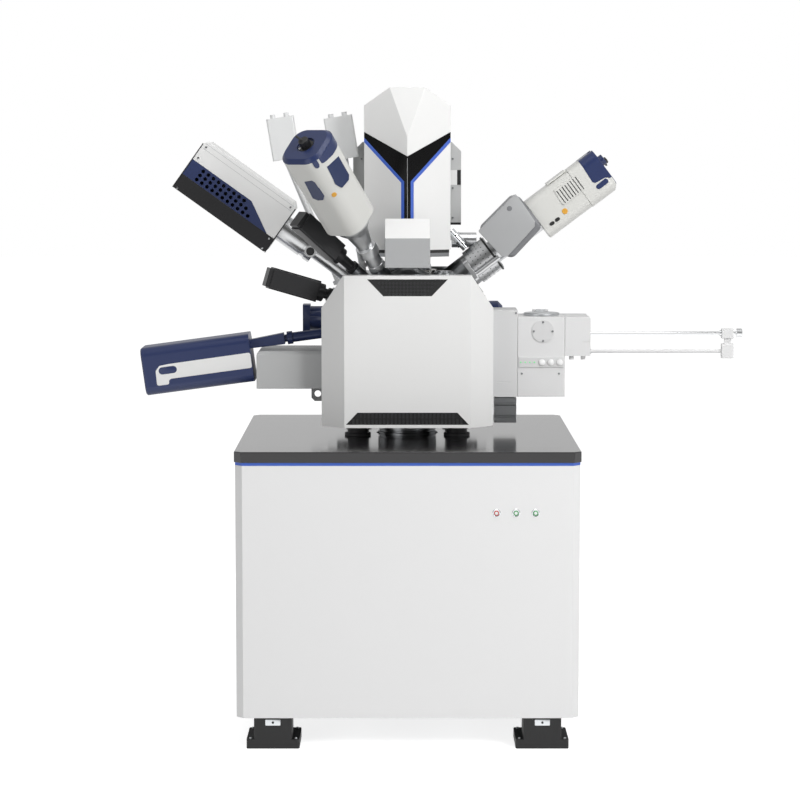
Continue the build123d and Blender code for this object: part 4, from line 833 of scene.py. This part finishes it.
big_window = [(651, 21.2), (636.1, 77.6), (565.3, 76.9), (555.6, 66), (562.2, 29), (574.2, 22.6),
              (587.1, 17.5)]
keep(on_lean_cover(along_lean(big_window), 0.0023), "lean_window_right", blue_glass, "base")
low_window = [(624.1, -64.7), (629.3, -36.5), (621.8, -29.8), (568.3, -26.9), (554, -37), (552.1, -55.6),
              (560.1, -69.6)]
keep(on_lean_cover(along_lean(low_window), 0.0023), "lean_window_lower", blue_glass, "base")
lid_side = [(690.5, 13.3), (672.1, 14.3), (669, 18), (667.3, 23.9), (657.4, 62.9), (657.4, 150), (690.5, 150)]
keep(on_lean_cap(along_lean(lid_side), 0.0008), "lean_lid_side", navy_coat, "base")
pill = [(690.5, -8), (690.5, 7), (673.6, 7), (667, 4), (665, -1), (668, -6), (674, -8)]
keep(on_lean_cap(along_lean(pill), 0.0014), "lean_pill", navy_coat, "base")
corner_out = (lean_across - lean_over).normalized()
plug_spot = focus + lean_axis * 0.5607 + (lean_across - lean_over) * 0.022 + corner_out * 0.0436
plug_place = Matrix.Translation(plug_spot) @ corner_out.to_track_quat("Z", "Y").to_matrix().to_4x4()
keep(turned([(0, 0.0075), (0.0012, 0.0075), (0.0018, 0.0066), (0.002, 0)], plug_place, 28), "lean_plug",
     orange_plug, "base")
cap_end = frame_at(focus + lean_axis * 0.695, lean_across, lean_over)
socket_form = [(0, 0.0215), (0.0018, 0.0215), (0.0018, 0.0148), (0.0225, 0.0148), (0.0235, 0.0138),
               (0.0235, 0)]
keep(turned(socket_form, cap_end, 48), "lean_socket", black_moulding, "base")
stub_tilt = Matrix.Rotation(math.radians(-38), 4, "Y")
stub_place = cap_end @ Matrix.Translation((0, 0, 0.0165)) @ stub_tilt
cable_stub = turned([(0, 0.0032), (0.026, 0.0032), (0.0275, 0.002), (0.028, 0)], stub_place, 16)
keep(cable_stub, "lean_cable_stub", black_moulding, "base")
socket_screws = [(cap_end @ Vector((x, y, 0)), lean_axis, lean_across)
                 for x, y in ((-0.045, 0.034), (-0.016, -0.012), (0.030, 0.030), (0.034, -0.030))]
repeated("lean_cap_screws", screw_head(0.0034), socket_screws, chrome)

# X-ray detector: a white folded cover over a black chassis, a navy perforated band along its side,
# and a steel tube that enters the chamber
eased("xray_chassis", black_anodised, 0.001)
eased("xray_grille", navy_coat, 0.0)
eased("xray_cover", white_moulding, 0.0015, 3)
eased("xray_tube", satin_aluminium, 0.0008)
xray_slope = math.radians(35.6)
xray_axis = Vector((-math.cos(xray_slope), 0, math.sin(xray_slope)))
xray_down = Vector((-math.sin(xray_slope), 0, -math.cos(xray_slope)))


def on_xray(y):
    """The X-ray detector's front at a depth: own x outward along its axis, own y upward across it."""
    return frame_at(focus + Vector((0, y, 0)), -xray_axis, -xray_down)


xray_screws = [(on_xray(-0.075) @ Vector((-x, -y, 0)), front, right)
               for x, y in ((0.7600, -0.027), (0.4600, 0.044), (0.7600, 0.078), (0.4600, 0.078),
                            (0.7590, -0.066), (0.4620, -0.066))]
repeated("xray_screws", screw_head(0.0032), xray_screws, chrome, body="xray_detector")
for index, x in enumerate((0.7725, 0.4475)):
    end_plate = prism(rounded_corners([(-x - 0.0015, 0.070), (-x + 0.0015, 0.070), (-x + 0.0015, -0.0835),
                                       (-x - 0.0015, -0.0835)], 0.0004), on_xray(-0.0752), 0.001)
    keep(end_plate, f"xray_end_plate_{index}", black_anodised, "xray_detector")
for index, y in enumerate((-0.0735, -0.058)):
    keep(prism([(-0.765, -y - 0.0004), (-0.455, -y - 0.0004), (-0.455, -y + 0.0004),
                (-0.765, -y + 0.0004)], on_xray(-0.075), 0.0003), f"xray_groove_{index}", mid_grey_coat,
         "xray_detector")
# A black disc in the boss is painted shade standing for its hole
keep(turned([(0, 0.012), (0.0009, 0.012), (0.0009, 0)],
            on_xray(-0.048) @ Matrix.Translation((-0.342, -0.006, 0)), 32), "xray_boss_hole", black_moulding,
     "xray_detector")

# Diffraction camera: a navy painted body with a white L-shaped stripe, sliding over a grey box
eased("camera_body", navy_coat, 0.0008)
eased("camera_slide_box", light_grey_coat, 0.001)
slope = math.radians(7.65)
camera_place = frame_at((column_x - 0.300, -0.075, 1.118), (math.cos(slope), 0, math.sin(slope)),
                        (-math.sin(slope), 0, math.cos(slope)))
# The stripe is inlaid where the body's front is flat, with a rounded outer corner
stripe = [(-0.161, -0.0225), (-0.400, -0.0240), (-0.428, -0.0262), (-0.4405, -0.0400), (-0.4420, -0.0830),
          (-0.4060, -0.0830), (-0.4060, -0.0715), (-0.3980, -0.0675), (-0.161, -0.0670)]
inlay = 0.0005
keep(prism(rounded_corners(stripe, 0.006), camera_place, inlay, 0.0001), "camera_stripe", white_moulding,
     "camera")
pill_place = camera_place @ Matrix.Translation((0, 0, inlay))
keep(prism(oval(-0.405, -0.0415, 0.053, 0.021), pill_place, inlay, 0.0001), "camera_pill", navy_coat, "camera")

# Manipulators, gas injectors and rear detectors: motor housings in black anodised aluminium, and
# painted grey valve boxes on slender steel stems
# Injector paint: pale grey baked coat
gas_white = finish("injector_grey_paint", "DFE0E0", 0.4, grain=0.0014, grain_depth=0.00001)
eased("manipulators", black_anodised, 0.0008)
eased("gas_injectors", gas_white, 0.0008)
eased("rear_detectors", navy_coat, 0.0)

# Airlock: a milled valve housing and load-lock box painted light grey, with a round lid, a control
# strip of four green lamps and three knobs, a slotted profile below, and long polished rods
# Painted valve casting: smooth light grey
valve_grey = finish("valve_grey_paint", "DADADA", 0.4, grain=0.002, grain_depth=0.000008)
box_grey = finish("airlock_box_paint", "DEDEDE", 0.4, grain=0.002, grain_depth=0.000008)
panel_grey = finish("control_panel_paint", "D4D4D4", 0.45)
knob_white = finish("white_knob_plastic", "F2F2F2", 0.3, coat=0.2)
rod_steel = finish("polished_rod_steel", "D9DADB", 0.14, metallic=1.0)
green_lamp = finish("green_indicator", "5FC77A", 0.3, glow=0.5)
profile_aluminium = finish("extruded_aluminium", "A2A4A6", 0.36, metallic=0.9, grain=0.0008, grain_depth=0.00001,
                           stretch=(1, 1, 0.05))
eased("valve_housing", valve_grey, 0.001)
eased("gate_plate", blasted_aluminium, 0.0)
eased("gate_drive", profile_aluminium, 0.0005)
eased("airlock_box", box_grey, 0.001)
eased("airlock_lid", clear_anodised, 0.0008)
eased("control_panel", panel_grey, 0.0003)
for number in (1, 2, 3):
    eased(f"panel_button_{number}", knob_white, 0.0)
eased("guide_block", box_grey, 0.0008)
eased("transfer_carriage", box_grey, 0.0008)
eased("transfer_rod", rod_steel, 0.0004)
airlock_front = frame_at((column_x, -0.075, 0), right, rise)
lamps = [(airlock_front @ Vector((x, 1.046, 0.003)), front, right) for x in (0.3293, 0.3425, 0.3557, 0.3689)]
lamp_dome = turned([(0, 0.0022), (0.0006, 0.0021), (0.0011, 0.0014), (0.0013, 0)], Matrix.Identity(4), 16)
repeated("panel_lamps", lamp_dome, lamps, green_lamp)
box_screws = [(airlock_front @ Vector((x, z, out)), front, right) for x, z, out in (
    (0.3935, 1.1627, 0.003), (0.3667, 1.1362, 0.003), (0.4211, 1.1362, 0.003), (0.3938, 1.1087, 0.003),
    (0.3326, 1.0130, 0.0), (0.4405, 1.0130, 0.0), (0.3150, 1.1890, 0.0))]
repeated("airlock_screws", screw_head(0.003), box_screws, turned_steel)

# Size of the finished model
low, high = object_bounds()
